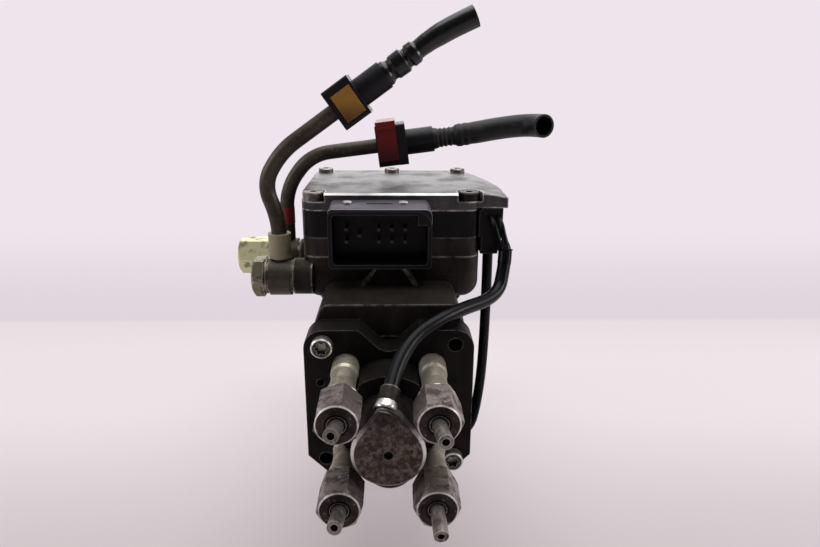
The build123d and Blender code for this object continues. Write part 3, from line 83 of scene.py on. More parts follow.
# ---------------------------------------------------------------- shader sums
class Reading:
    """A value in a shader. Maths on it adds Math nodes to its shading."""

    def __init__(self, shading, socket):
        self.shading = shading
        self.socket = socket

    def __add__(self, other):
        return self.shading.sum("ADD", self, other)

    def __sub__(self, other):
        return self.shading.sum("SUBTRACT", self, other)

    def __rsub__(self, other):
        return self.shading.sum("SUBTRACT", other, self)

    def __mul__(self, other):
        return self.shading.sum("MULTIPLY", self, other)

    __radd__ = __add__


class Shading:
    """The nodes of a material or a world, linked as they are made."""

    def __init__(self, tree):
        self.nodes = tree.nodes
        self.links = tree.links

    def node(self, kind, settings, values, output=0):
        """Add a node, set it up, feed its inputs and return one output as a Reading."""
        made = self.nodes.new(kind)
        for setting, value in settings.items():
            setattr(made, setting, value)
        pairs = values.items() if isinstance(values, dict) else enumerate(values)
        for key, value in pairs:
            self.feed(made.inputs[key], value)
        return Reading(self, made.outputs[output])

    def sum(self, operation, first, second):
        return self.node("ShaderNodeMath", {"operation": operation}, [first, second])

    def feed(self, socket, value):
        if isinstance(value, Reading):
            self.links.new(value.socket, socket)
        elif socket.type == "RGBA" and len(value) == 3:
            socket.default_value = (*value, 1.0)
        else:
            socket.default_value = value

    def ray(self, kind):
        """1 for rays of that kind, such as Is Camera Ray, and 0 for others."""
        return self.node("ShaderNodeLightPath", {}, {}, kind)


class Finish(Shading):
    """A material with a Principled shader, and the patterns that its inputs are made of."""

    def __init__(self, name):
        self.material = bpy.data.materials.new(name)
        self.material.use_nodes = True
        super().__init__(self.material.node_tree)
        self.shader = self.nodes["Principled BSDF"]
        self.place = self.node("ShaderNodeTexCoord", {}, {}, "Object")

    def set(self, **inputs):
        """Feed inputs of the Principled shader, named with _ for a space."""
        for name, value in inputs.items():
            self.feed(self.shader.inputs[name.replace("_", " ")], value)

    def noise(self, size, detail=4.0, stretch=(1, 1, 1), roughness=0.55):
        """Soft blotches about size metres across, from 0 to 1."""
        spot = self.node("ShaderNodeMapping", {}, {"Vector": self.place, "Scale": stretch})
        return self.node("ShaderNodeTexNoise", {"noise_dimensions": "3D"},
                         {"Vector": spot, "Scale": 1 / size, "Detail": detail,
                          "Roughness": roughness})

    def along(self, axis):
        """Place along axis X, Y or Z, in metres."""
        return self.node("ShaderNodeSeparateXYZ", {}, {"Vector": self.place}, axis)

    def from_axes(self, centres):
        """Distance in metres from the nearest of the lines along Y through (X, Z) centres."""
        flat = self.node("ShaderNodeMapping", {}, {"Vector": self.place, "Scale": (1, 0, 1)})
        nearest = None
        for x, z in centres:
            away = self.node("ShaderNodeVectorMath", {"operation": "DISTANCE"},
                             [flat, (x * MM, 0, z * MM)], "Value")
            nearest = self.sum("MINIMUM", nearest, away) if nearest else away
        return nearest

    def band(self, value, low, high):
        """0 below low, 1 above high and smooth between them."""
        return self.node("ShaderNodeMapRange", {"interpolation_type": "SMOOTHSTEP"},
                         {"Value": value, "From Min": low, "From Max": high})

    def mix(self, share, first, second):
        """Colour first where share is 0 and second where it is 1."""
        made = self.nodes.new("ShaderNodeMix")
        made.data_type = "RGBA"
        for socket, value in zip((made.inputs[0], made.inputs[6], made.inputs[7]),
                                 (share, first, second)):
            self.feed(socket, value)
        return Reading(self, made.outputs[2])

    def worn_and_lit_edge(self, reach):
        """1 on outward edges within reach metres, 0 on flat faces."""
        # bright rims made with this mask are partly rubbed metal and partly a painted highlight
        inside = self.node("ShaderNodeAmbientOcclusion",
                           {"inside": True, "only_local": True, "samples": 6},
                           {"Distance": reach}, "AO")
        return self.band(1 - inside, 0.12, 0.5)

    def hollow(self, reach):
        """1 in corners and gaps narrower than reach metres, 0 in the open."""
        # darkening made with this mask is partly soiling and partly painted shade in corners and
        # gaps
        outside = self.node("ShaderNodeAmbientOcclusion",
                            {"inside": False, "only_local": False, "samples": 6},
                            {"Distance": reach}, "AO")
        return self.band(1 - outside, 0.25, 0.85)

    def bump(self, height, depth, strength=1.0):
        """Feed a relief of that depth in metres to the shader."""
        relief = self.node("ShaderNodeBump", {},
                           {"Height": height, "Distance": depth, "Strength": strength})
        self.links.new(relief.socket, self.shader.inputs["Normal"])


def scaled(colour, factor):
    return tuple(min(1.0, part * factor) for part in colour)


def cast_metal(name, colour, grime_and_shade, shine, metal=0.5, roughness=0.5, bright_edge_reach=0.0006, gloss=0.35,
               pits=0.4, front_highlight=None):
    """Die-cast aluminium: grain, blotches, oily soiling with painted shade in the corners, and
    rubbed edges that are partly a painted highlight.

    front_highlight is (Y, Z): a painted highlight runs all along the rim in front of Y and above
    Z.
    """
    made = Finish(name)
    blotch = made.noise(0.018, 6.0)
    streak = made.noise(0.006, 5.0, (1, 1, 0.35))
    skin = made.noise(0.0008, 3.0)
    stain = made.band(blotch, 0.42, 0.68)
    speck = made.band(made.noise(0.0016, 2.0), 0.6, 0.72)
    edge_wear_and_sheen = made.worn_and_lit_edge(bright_edge_reach) * made.band(made.noise(0.004, 3.0), 0.3, 0.6)
    # corners and gaps are darkened: oily soiling and painted shade
    dirt_and_shade = made.hollow(0.007)
    face = made.mix(stain * 0.75, colour, scaled(colour, 0.5))
    face = made.mix(made.band(streak, 0.42, 0.7) * 0.45, face, grime_and_shade)
    face = made.mix(speck * pits, face, scaled(colour, 1.7))
    face = made.mix(dirt_and_shade * 0.85, face, grime_and_shade)
    if front_highlight:
        # painted highlight all along the lid's front rim
        rim = 1 - made.band(made.along("Y"), front_highlight[0] - 0.0002, front_highlight[0])
        rim = rim * made.band(made.along("Z"), front_highlight[1] - 0.0001, front_highlight[1])
        face = made.mix(rim * (0.95 - stain * 0.3), face, shine)
    made.set(Base_Color=made.mix(edge_wear_and_sheen * 0.85, face, shine), Metallic=metal,
             Roughness=roughness + stain * 0.16 - edge_wear_and_sheen * 0.2 + dirt_and_shade * 0.15,
             Specular_IOR_Level=gloss)
    made.bump(skin * 0.6 + blotch * 0.6 + streak * 0.3, 0.00024, 0.85)
    return made.material


def plated_steel(name, colour, tarnish_and_shade, roughness=0.36, metal=0.9, tarnish_from=0.48,
                 shine=(0.8, 0.78, 0.72), faces=None):
    """Turned and plated steel, tarnished, with small scratches and bright edges that are partly
    worn and partly a painted highlight.

    faces is (Y, centres, recess, rim): the front faces from there to -Y are darkened with painted
    shade, painted black as painted shade within the recess radius of their centres and given a
    painted highlight at the rim radius.
    """
    made = Finish(name)
    cloud = made.noise(0.006, 6.0, roughness=0.65)
    scratch = made.noise(0.0011, 3.0, (0.25, 1, 1))
    nick = made.band(made.noise(0.0019, 3.0), 0.6, 0.68)
    edge_wear_and_sheen = made.worn_and_lit_edge(0.0004)
    # corners and gaps are darkened: soiling and painted shade
    dirt_and_shade = made.hollow(0.0035)
    spread = made.band(cloud, tarnish_from, tarnish_from + 0.16)
    face = made.mix(spread * 0.85, colour, tarnish_and_shade)
    face = made.mix(nick * 0.35, face, shine)
    if faces:
        place, centres, recess, rim = faces
        # painted shade: the front faces are darkened
        front = 1 - made.band(made.along("Y"), place, place + 0.0004)
        away = made.from_axes(centres)
        face = made.mix(front * (0.92 - nick * 0.3), face, scaled(tarnish_and_shade, 0.5))
        # painted shade: the hole in each front face is painted black
        shaded_recess = 1 - made.band(away, recess, recess + 0.0004)
        face = made.mix(front * shaded_recess * 0.95, face, (0.004, 0.0035, 0.0035))
        # painted highlight: a bright ring at the rim radius
        ring = made.band(away, rim - 0.0004, rim - 0.0001)
        ring = ring * (1 - made.band(away, rim + 0.0003, rim + 0.0006))
        face = made.mix(front * ring * (1 - spread * 0.5), face, shine)
    face = made.mix(dirt_and_shade * 0.8, face, scaled(tarnish_and_shade, 0.35))
    made.set(Base_Color=made.mix(edge_wear_and_sheen * 0.75, face, shine), Metallic=metal,
             Roughness=roughness + spread * 0.22 + scratch * 0.1 + dirt_and_shade * 0.15)
    made.bump(scratch * 0.5 + cloud * 0.6, 0.0001, 0.8)
    return made.material


def moulded_plastic(name, colour, roughness=0.45, rim=1.8, dust=(0.2, 0.19, 0.19), dusty=0.05,
                    glow=0.0, shade=None, gloss=0.35, bright_edge_reach=0.0005):
    """Moulded plastic with a fine skin, a little dust, and paler rims that are partly worn and
    partly a painted highlight.

    shade is (low, high, share): painted shade of that share below height low, none above high.
    """
    made = Finish(name)
    cloud = made.noise(0.01, 4.0)
    skin = made.noise(0.0005, 2.0)
    edge_wear_and_sheen = made.worn_and_lit_edge(bright_edge_reach)
    settled = made.band(cloud, 0.5, 0.75) * dusty
    face = made.mix(settled, colour, dust)
    if shade:
        low, high, share = shade
        # painted shade: darker towards the bottom
        height = made.along("Z") + cloud * 0.004
        face = made.mix((1 - made.band(height, low, high)) * share, face, scaled(colour, 0.12))
    # rim sets how pale the rims are painted: worn and painted highlight
    made.set(Base_Color=made.mix(edge_wear_and_sheen * 0.5, face, scaled(colour, rim)), Metallic=0.0,
             Roughness=roughness + cloud * 0.14 - edge_wear_and_sheen * 0.1, Subsurface_Weight=glow,
             Specular_IOR_Level=gloss)
    made.bump(skin * 0.5 + cloud * 0.5, 0.00006, 0.6)
    return made.material


def shroud_plastic():
    """The shroud's top, painted lighter than its black front as painted light from above, with a
    painted highlight along the rim between the two.
    """
    made = Finish("shroud_top_black")
    cloud = made.noise(0.01, 4.0)
    skin = made.noise(0.0005, 2.0)
    place = made.along("Y")
    lit_top = made.band(place, SHROUD_FRONT + 0.00001, SHROUD_FRONT + 0.00005)
    # painted highlight along the front rim of the top
    rubbed = lit_top * (1 - made.band(place, SHROUD_FRONT + 0.0003, SHROUD_FRONT + 0.0011))
    top = made.mix(rubbed, made.mix(cloud, (0.075, 0.063, 0.083), (0.125, 0.107, 0.137)),
                   (0.26, 0.235, 0.265))
    made.set(Base_Color=made.mix(lit_top, (0.003, 0.0026, 0.0034), top), Metallic=0.0,
             Roughness=0.38 + cloud * 0.1, Specular_IOR_Level=0.35)
    made.bump(skin * 0.5 + cloud * 0.5, 0.00006, 0.6)
    return made.material


def rubber(name, colour, roughness=0.5, bloom=(0.05, 0.05, 0.055), coat=0.0, shrivel=0.0,
           gloss=0.35):
    """Rubber or vinyl with a faint bloom and lengthways rubbing marks."""
    made = Finish(name)
    cloud = made.noise(0.006, 5.0)
    mark = made.noise(0.0012, 4.0, (0.3, 1, 1))
    face = made.mix(made.band(cloud, 0.45, 0.8) * 0.5, colour, bloom)
    face = made.mix(made.band(mark, 0.6, 0.75) * 0.25, face, scaled(bloom, 1.5))
    made.set(Base_Color=face, Metallic=0.0, Roughness=roughness + cloud * 0.2,
             Coat_Weight=coat, Specular_IOR_Level=gloss)
    made.bump(mark * 0.6 + made.noise(0.0025, 4.0) * shrivel, 0.00015, 0.7)
    return made.material


def coated_tube():
    """Olive coated steel tube with a rubbed, slightly grainy skin."""
    made = Finish("olive_tube_coating")
    colour = (0.075, 0.064, 0.05)
    cloud = made.noise(0.012, 5.0)
    grain = made.noise(0.0009, 3.0)
    chip = made.band(made.noise(0.0022, 3.0), 0.6, 0.68)
    face = made.mix(made.band(cloud, 0.4, 0.65) * 0.7, colour, scaled(colour, 0.45))
    made.set(Base_Color=made.mix(chip * 0.4, face, (0.18, 0.16, 0.13)), Metallic=0.5,
             Roughness=0.4 + cloud * 0.15, Specular_IOR_Level=0.35)
    made.bump(grain * 0.5 + cloud * 0.5, 0.00012, 0.7)
    return made.material


def lid_screw_steel():
    """Grey plated screws of the lid, of which the one at the front right is blackened."""
    made = Finish("lid_screw_plating")
    cloud = made.noise(0.004, 5.0)
    edge_wear_and_sheen = made.worn_and_lit_edge(0.0005)
    to_the_right = made.band(made.along("X"), 0.022, 0.026)
    in_front = 1 - made.band(made.along("Y"), -0.06, -0.055)
    black = to_the_right * in_front
    face = made.mix(made.band(cloud, 0.42, 0.62), (0.34, 0.32, 0.3), (0.13, 0.115, 0.1))
    face = made.mix(black * 0.95, face, (0.014, 0.012, 0.011))
    # painted shade: corners and recesses of the screw heads are darkened
    face = made.mix(made.hollow(0.003) * 0.85, face, (0.01, 0.008, 0.007))
    made.set(Base_Color=made.mix(edge_wear_and_sheen * 0.7, face, (0.75, 0.73, 0.7)), Metallic=0.85,
             Roughness=0.34 + cloud * 0.2)
    made.bump(cloud, 0.0001, 0.7)
    return made.material


def red_tape():
    """Creased red tape in the colour that the panel sets."""
    made = Finish("red_tape")
    colour = tuple(looks().band_colour)
    crease = made.noise(0.003, 4.0, (1, 1, 3))
    made.set(Base_Color=made.mix(made.band(crease, 0.45, 0.75) * 0.5, colour,
                                 scaled(colour, 0.4)),
             Roughness=0.38 + crease * 0.2)
    made.bump(crease, 0.0003, 0.8)
    return made.material


def solenoid_casting():
    """Rusty, pitted cast front, darker towards the top as painted shade, with a painted highlight
    on its turned chamfer and its centre hole painted black as painted shade.
    """
    made = Finish("solenoid_casting")
    behind, height = made.along("Y") - SOLENOID_FACE, made.along("Z")
    cloud = made.noise(0.006, 6.0, roughness=0.7)
    mottle = made.noise(0.0018, 4.0)
    rust = made.band(made.noise(0.009, 4.0), 0.5, 0.66)
    pit = made.band(made.noise(0.0011, 3.0), 0.6, 0.68)
    # corners and gaps are darkened: soiling and painted shade
    dirt_and_shade = made.hollow(0.006)
    edge_wear_and_sheen = made.worn_and_lit_edge(0.0006)
    face = made.mix(made.band(mottle, 0.38, 0.62), (0.05, 0.042, 0.036), (0.2, 0.18, 0.165))
    face = made.mix(made.band(cloud, 0.45, 0.62) * 0.65, face, (0.06, 0.048, 0.04))
    face = made.mix(rust * 0.35, face, (0.13, 0.075, 0.04))
    face = made.mix(pit * 0.8, face, (0.008, 0.007, 0.006))
    # painted shade: darker towards the top
    face = made.mix(made.band(height + cloud * 0.006, 0.013, 0.02) * 0.75, face,
                    (0.022, 0.017, 0.015))
    flank = made.band(behind, 0.0015, 0.0019)
    face = made.mix(flank * 0.7, face, (0.018, 0.014, 0.012))
    # painted highlight on the chamfer round the face, strongest at its sides
    bevel = made.band(behind, 0.0001, 0.0003) * (1 - flank)
    low = made.band(height, -0.012, -0.007) * (1 - made.band(height, 0.009, 0.014) * 0.75)
    face = made.mix(bevel * low * (0.95 - cloud * 0.3), face, (0.85, 0.82, 0.8))
    face = made.mix(dirt_and_shade * 0.7, face, (0.01, 0.008, 0.007))
    # painted shade: the hole in the centre is painted black
    mark = 1 - made.band(made.from_axes([(0, 0)]), 0.0018, 0.0021)
    shallow = 1 - made.band(behind, 0.0022, 0.0027)
    face = made.mix(mark * shallow, face, (0.002, 0.002, 0.002))
    made.set(Base_Color=made.mix(edge_wear_and_sheen * 0.35, face, (0.6, 0.57, 0.53)), Metallic=0.75,
             Roughness=0.34 + cloud * 0.25 + pit * 0.2 - bevel * 0.15,
             Specular_IOR_Level=0.3)
    made.bump(mottle * 0.6 + cloud * 0.5 - pit * 0.4, 0.0004, 0.9)
    return made.material


def ground_metal(name, colour, roughness=0.25, thread_from=None):
    """Ground or turned metal under a film of fuel: fine rings and small stains.

    thread_from is the place along Y behind which the piece is threaded.
    """
    made = Finish(name)
    ring = made.noise(0.0006, 2.0, (1, 0.1, 1))
    stain = made.band(made.noise(0.008, 4.0), 0.5, 0.8)
    made.set(Base_Color=made.mix(stain * 0.5, colour, scaled(colour, 0.6)), Metallic=1.0,
             Roughness=roughness + ring * 0.15 + stain * 0.1)
    if thread_from is None:
        made.bump(ring, 0.00003, 0.6)
    else:
        place = made.along("Y")
        crest = made.sum("PINGPONG", place, THREAD_PITCH / 2) * (2 / THREAD_PITCH)
        made.bump(crest * made.band(place, thread_from, thread_from + 0.0003), 0.0006)
    return made.material


FINISHES = {
    "cast_aluminium": lambda: cast_metal("housing_casting", (0.036, 0.029, 0.025),
                                         (0.008, 0.0062, 0.0052), (0.46, 0.43, 0.4),
                                         bright_edge_reach=0.0014, gloss=0.25),
    "lid_aluminium": lambda: cast_metal("lid_casting", (0.095, 0.088, 0.09),
                                        (0.025, 0.021, 0.02), (0.95, 0.93, 0.92),
                                        metal=0.6, roughness=0.34, bright_edge_reach=0.0011, pits=0.25,
                                        gloss=0.25, front_highlight=(LID_LOW[1] + 0.0012,
                                                               LID_HIGH[2] - 0.001)),
    "plate_aluminium": lambda: cast_metal("plate_casting", (0.05, 0.04, 0.035),
                                          (0.01, 0.008, 0.0065), (0.4, 0.36, 0.33),
                                          metal=0.55, roughness=0.4, gloss=0.25),
    "dark_casting": lambda: cast_metal("head_casting", (0.014, 0.011, 0.01),
                                       (0.004, 0.003, 0.0028), (0.3, 0.27, 0.25),
                                       metal=0.5, roughness=0.45, gloss=0.2),
    "solenoid_skin": solenoid_casting,
    "valve_skin": lambda: cast_metal("valve_casting", (0.05, 0.043, 0.037),
                                     (0.012, 0.01, 0.008), (0.4, 0.37, 0.33), metal=0.6),
    "yellow_zinc": lambda: plated_steel("yellow_zinc_plating", (0.6, 0.57, 0.45),
                                        (0.2, 0.17, 0.12), roughness=0.38),
    "worn_steel": lambda: plated_steel("worn_nut_steel", (0.27, 0.235, 0.22),
                                       (0.06, 0.049, 0.043), roughness=0.38,
                                       tarnish_from=0.45, shine=(0.8, 0.77, 0.74),
                                       faces=(NUT_FRONT, OUTLETS, 0.0046, 0.0082)),
    "green_zinc": lambda: plated_steel("green_zinc_plating", (0.72, 0.7, 0.42),
                                       (0.24, 0.22, 0.12), roughness=0.42, metal=0.7),
    "olive_bolt": lambda: plated_steel("olive_bolt_plating", (0.22, 0.21, 0.14),
                                       (0.07, 0.062, 0.04), roughness=0.4, metal=0.75),
    "lid_screw": lid_screw_steel,
    "screw_steel": lambda: plated_steel("screw_zinc", (0.42, 0.4, 0.36), (0.12, 0.1, 0.08)),
    "head_screw_steel": lambda: plated_steel("head_screw_zinc", (0.4, 0.39, 0.35),
                                             (0.1, 0.09, 0.075), roughness=0.3,
                                             shine=(0.85, 0.84, 0.8),
                                             faces=(HEAD_SCREW_FRONT, HEAD_SCREWS,
                                                    0.0029, 0.0044)),
    "tube_steel": coated_tube,
    "pipe_steel": lambda: plated_steel("cut_pipe_steel", (0.3, 0.27, 0.25),
                                       (0.08, 0.065, 0.055), roughness=0.33),
    "olive_washer": lambda: plated_steel("stained_washer", (0.2, 0.18, 0.12),
                                         (0.06, 0.05, 0.035), shine=(0.5, 0.46, 0.36)),
    "shroud_plastic": shroud_plastic,
    # rim=40.0 makes the frame's rims far paler: worn and painted highlight
    "black_plastic": lambda: moulded_plastic("glass_filled_black", (0.003, 0.0026, 0.0034),
                                             roughness=0.34, rim=40.0, dusty=0.006, gloss=0.2,
                                             bright_edge_reach=0.0009),
    "sensor_plastic": lambda: moulded_plastic("sensor_black", (0.012, 0.012, 0.013)),
    "connector_plastic": lambda: moulded_plastic("connector_black", (0.008, 0.0075, 0.0095),
                                                 roughness=0.36, rim=6.0, dusty=0.02, gloss=0.25),
    "board_resin": lambda: moulded_plastic("board_green", (0.03, 0.14, 0.05), roughness=0.3),
    "cream_plastic": lambda: moulded_plastic("cream_sleeve", (0.36, 0.31, 0.2), rim=1.3,
                                             dust=(0.1, 0.08, 0.04), dusty=0.6, glow=0.1),
    "amber_plastic": lambda: moulded_plastic("amber_clip", (0.4, 0.19, 0.03), rim=1.2,
                                             roughness=0.34, dust=(0.2, 0.08, 0.02),
                                             dusty=0.4, glow=0.1, shade=(0.127, 0.1385, 0.8)),
    "red_plastic": lambda: moulded_plastic("red_clip", (0.19, 0.006, 0.006), rim=2.2,
                                           roughness=0.3, dust=(0.05, 0.005, 0.005), dusty=0.5,
                                           shade=(0.102, 0.119, 0.85)),
    "red_tape": red_tape,
    "hose_rubber": lambda: rubber("hose_rubber_skin", (0.008, 0.0072, 0.0085), 0.42,
                                  bloom=(0.04, 0.036, 0.042), shrivel=0.5),
    "gloss_rubber": lambda: rubber("gloss_hose_skin", (0.004, 0.0036, 0.0045), 0.2,
                                   bloom=(0.008, 0.008, 0.009), coat=0.2),
    "lead_sheath": lambda: rubber("lead_vinyl", (0.003, 0.0028, 0.0042), 0.2,
                                  bloom=(0.008, 0.0075, 0.011), gloss=0.14),
    "seal_rubber": lambda: rubber("seal_lip", (0.012, 0.012, 0.012), 0.6),
    "ground_steel": lambda: ground_metal("ground_steel_film", (0.5, 0.49, 0.47)),
    "shaft_steel": lambda: ground_metal("threaded_shaft_steel", (0.45, 0.43, 0.4),
                                        thread_from=THREAD_START),
    "spring_steel": lambda: ground_metal("oiled_spring_steel", (0.3, 0.29, 0.28), 0.32),
    "bearing_bronze": lambda: ground_metal("bush_bronze", (0.42, 0.29, 0.13), 0.35),
    "bright_steel": lambda: plated_steel("polished_steel", (0.8, 0.78, 0.75),
                                         (0.4, 0.37, 0.33), roughness=0.22,
                                         tarnish_from=0.6),
    "rivet_metal": lambda: plated_steel("rivet_zinc", (0.5, 0.49, 0.5), (0.2, 0.19, 0.2)),
    "tinned_pins": lambda: ground_metal("tinned_pin_metal", (0.09, 0.068, 0.035), 0.4),
    "piston_aluminium": lambda: ground_metal("turned_aluminium", (0.6, 0.6, 0.61), 0.3),
}

# the finish of each CAD node that shows with its own shape
NODE_FINISHES = {
    "cast_aluminium": ("pump_housing", "timing_covers"),
    "plate_aluminium": ("control_plate",),
    "lid_aluminium": ("control_lid",),
    "dark_casting": ("distributor_head",),
    "solenoid_skin": ("solenoid_body",),
    "valve_skin": ("timing_valve_body",),
    "yellow_zinc": ("delivery_holders",),
    "green_zinc": ("rear_banjo_bolt",),
    "worn_steel": ("union_nuts",),
    "pipe_steel": ("pipe_stubs",),
    "screw_steel": ("shaft_key",),
    "head_screw_steel": ("head_screws",),
    "olive_bolt": ("front_banjo_bolt",),
    "lid_screw": ("cover_screws",),
    "tube_steel": ("front_fuel_tube", "rear_fuel_tube"),
    "olive_washer": ("banjo_washers",),
    "black_plastic": ("control_frame",),
    "connector_plastic": ("front_connector", "rear_connector"),
    "sensor_plastic": ("angle_sensor",),
    "board_resin": ("circuit_board",),
    "cream_plastic": ("tube_sleeve",),
    "amber_plastic": ("front_clip",),
    "red_plastic": ("rear_clip",),
    "seal_rubber": ("shaft_seal",),
    "shaft_steel": ("drive_shaft",),
    "ground_steel": ("plunger_barrel", "supply_rotor", "supply_vanes",
                     "supply_cam_ring", "supply_plate", "trigger_wheel", "coupling_disc",
                     "cam_plate", "distributor_plunger", "roller_ring", "roller_1", "roller_2",
                     "roller_3", "roller_4", "timing_pin", "solenoid_needle",
                     "timing_valve_needle", "delivery_valve_1", "delivery_valve_2",
                     "delivery_valve_3", "delivery_valve_4"),
    "spring_steel": ("delivery_springs", "timing_spring", "plunger_springs", "spring_bridge"),
    "bearing_bronze": ("shaft_bush",),
    "tinned_pins": ("connector_pins",),
    "piston_aluminium": ("timing_piston",),
}
made_finishes = {}


def finish(name):
    """The material of a finish, made the first time it is asked for."""
    if name not in made_finishes:
        made_finishes[name] = FINISHES[name]()
    return made_finishes[name]


# ---------------------------------------------------------------- modelling helpers
def clear_selection():
    if bpy.context.object and bpy.context.object.mode != "OBJECT":
        bpy.ops.object.mode_set(mode="OBJECT")
    bpy.ops.object.select_all(action="DESELECT")


def activate(piece):
    clear_selection()
    piece.select_set(True)
    bpy.context.view_layer.objects.active = piece


def settle(piece, angle=35):
    """Put the piece's place into its mesh and shade it smooth up to an angle."""
    activate(piece)
    bpy.ops.object.transform_apply(location=True, rotation=True, scale=True)
    bpy.ops.object.shade_smooth_by_angle(angle=math.radians(angle))


def apply_all(piece):
    activate(piece)
    for modifier in list(piece.modifiers):
        bpy.ops.object.modifier_apply(modifier=modifier.name)


def dress(piece, material, body, replaced=()):
    """Give a finished piece the material of a finish, attach it to its body and hide the CAD
    nodes that it stands in for.
    """
    piece.data.materials.clear()
    piece.data.materials.append(finish(material))
    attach(piece, body)
    if replaced:
        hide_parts(*replaced)


def thicken(piece, wall):
    """Turn an open skin into a wall that reaches inwards from it."""
    solid = piece.modifiers.new("wall", "SOLIDIFY")
    solid.thickness = wall
    solid.offset = -1
    apply_all(piece)


def round_edges(piece, width, segments, angle=30):
    """Round the edges that are sharper than the angle."""
    rounding = piece.modifiers.new("round", "BEVEL")
    rounding.width = width
    rounding.segments = segments
    rounding.limit_method = "ANGLE"
    rounding.angle_limit = math.radians(angle)
    apply_all(piece)


def route_curve(name, points, radius, shrink=None, resolution=24):
    """A smooth NURBS line with these control points, in metres, as a round curve object."""
    line = bpy.data.curves.new(name, "CURVE")
    line.dimensions = "3D"
    line.bevel_depth = radius
    line.bevel_resolution = 6
    line.resolution_u = resolution
    line.use_fill_caps = True
    spline = line.splines.new("NURBS")
    spline.points.add(len(points) - 1)
    for number, point in enumerate(points):
        spline.points[number].co = (*[part * MM for part in point], 1.0)
        spline.points[number].radius = shrink[number] if shrink else 1.0
    spline.order_u = 3
    spline.use_endpoint_u = True
    made = bpy.data.objects.new(name, line)
    bpy.context.scene.collection.objects.link(made)
    return made


def centreline(points, count):
    """count evenly spaced points on the smooth line through a route's control points."""
    guide = route_curve("guide", points, 0.0, resolution=64)
    mesh = bpy.data.meshes.new_from_object(guide)
    line = [vertex.co.copy() for vertex in mesh.vertices]
    bpy.data.objects.remove(guide)
    bpy.data.meshes.remove(mesh)
    run = [0.0]
    for here, after in zip(line, line[1:]):
        run.append(run[-1] + (after - here).length)
    found = []
    step = 0
    for number in range(count):
        goal = run[-1] * number / (count - 1)
        while step < len(run) - 2 and run[step + 1] < goal:
            step += 1
        share = (goal - run[step]) / (run[step + 1] - run[step])
        found.append(line[step].lerp(line[step + 1], share))
    return found, run[-1]


def tube_along(name, line, radii, sides=40):
    """A round tube with the given radius at each point of a line, as a mesh object."""
    curve = bpy.data.curves.new(name, "CURVE")
    curve.dimensions = "3D"
    curve.bevel_depth = 1.0
    curve.bevel_resolution = sides // 4 - 1
    spline = curve.splines.new("POLY")
    spline.points.add(len(line) - 1)
    for number, (point, radius) in enumerate(zip(line, radii)):
        spline.points[number].co = (*point, 1.0)
        spline.points[number].radius = radius
    made = bpy.data.objects.new(name, curve)
    bpy.context.scene.collection.objects.link(made)
    activate(made)
    bpy.ops.object.convert(target="MESH")
    return bpy.context.object


# ---------------------------------------------------------------- sizes, in millimetres
GLAND_END = (0.916, -170.936, 24.394)
GLAND_RUN = (5.153, -153.987, 36.046)
MAIN_LEAD = [(55.6, -88, 77.5), (56.4, -93.5, 76.4), (58.2, -96.6, 67.5), (58.6, -97.4, 63.6),
             (57.6, -101.5, 54.5), (53.6, -110.5, 42), (28, -135, 43.5), GLAND_RUN, GLAND_END]
MAIN_LEAD_THICKNESS = [0.4, 0.4, 0.4, 0.95, 1, 1, 1, 1, 1]
SECOND_WIRE = [(51.6, -88, 77.5), (52.2, -92.5, 77.2), (54.6, -96.4, 69.0), (56.6, -98.2, 62.4),
               (56.4, -100, 56)]
SHEATH_TOP = 63.4       # the sheath of the main lead begins below this height
MOUTH_STEPS = 24        # steps of the lead that the mouth of the sheath covers
FLARE_STEPS = 3         # and those over which it flares
MOUTH_PROUD = 0.15      # how far the mouth stands off the lead, and how far its rim flares
MOUTH_FLARE = 0.45
MOUTH_WALL = 0.35
LEAD_STEPS = 400
TIMING_LEAD = [(52.6, -78, 57.95), (53, -78.5, 18), (51.5, -79, -27), (43, -95, -49.2),
               (21, -95, -49.2)]
SUPPLY_HOSE = [(-1.868, -85, 146.947), (8.724, -85, 154.485), (24, -85, 166), (41, -85, 173.5)]
RETURN_HOSE = [(24.302, -45, 112.533), (41.157, -45, 114.746), (64, -45, 119),
               (79, -47, 120.5), (83, -58, 120.7)]
# (run, radius) along the hoses, whose necks have shrunk over the barbs
SUPPLY_HOSE_PROFILE = [(0, 6.4), (1.2, 6.3), (3.4, 5.2), (4.2, 5.2), (5.6, 6.1), (11.0, 6.2),
                       (12.6, 4.9), (13.4, 4.9), (14.6, 5.8), (17.6, 5.7), (19.4, 4.6),
                       (20.4, 4.6), (25.0, 4.9), (33.0, 5.3), (50.0, 5.4), (60.0, 5.5)]
RETURN_HOSE_PROFILE = [(0, 5.9), (2.0, 5.6), (3.2, 5.0), (4.4, 5.4), (5.4, 4.8), (6.8, 5.3),
                       (7.8, 4.7), (9.4, 5.3), (10.4, 4.9), (11.6, 5.2), (13.2, 6.1),
                       (15.0, 6.3), (16.6, 6.0), (18.4, 6.25), (20.4, 5.95), (24.0, 6.1),
                       (40.0, 6.1), (66.0, 6.3), (80.0, 6.3)]
HOSE_STEPS = 260
RETURN_TUBE = (-59.0, -45.0)        # X and Y of its upright foot
TAPE_RADIUS = 4.22
TAPE_THICKNESS = 0.2
# (Y, radius) along the cone behind each union nut
NUT_SHOULDER = [(-160.5, 5.72), (-163.0, 6.0), (-167.0, 6.75), (-171.0, 7.65), (-173.2, 8.3),
                (-173.9, 8.62), (-174.4, 8.3)]
NUT_TURNS = (18, 0, 10, 0)          # how each nut has come to rest, in degrees
NUT_BACK_MIDDLE = -176.35
NUT_BACK_LENGTH = 5.3
NUT_BACK_RADIUS = 9.76
NUT_HALF_FLATS = 8.46
NUT_CHAMFER = 1.2
GLAND_DIRECTION = Vector((0.2, 0.8, 0.55)).normalized()
GLAND_FOOT = Vector((-1.3, -179.7, 18.4))
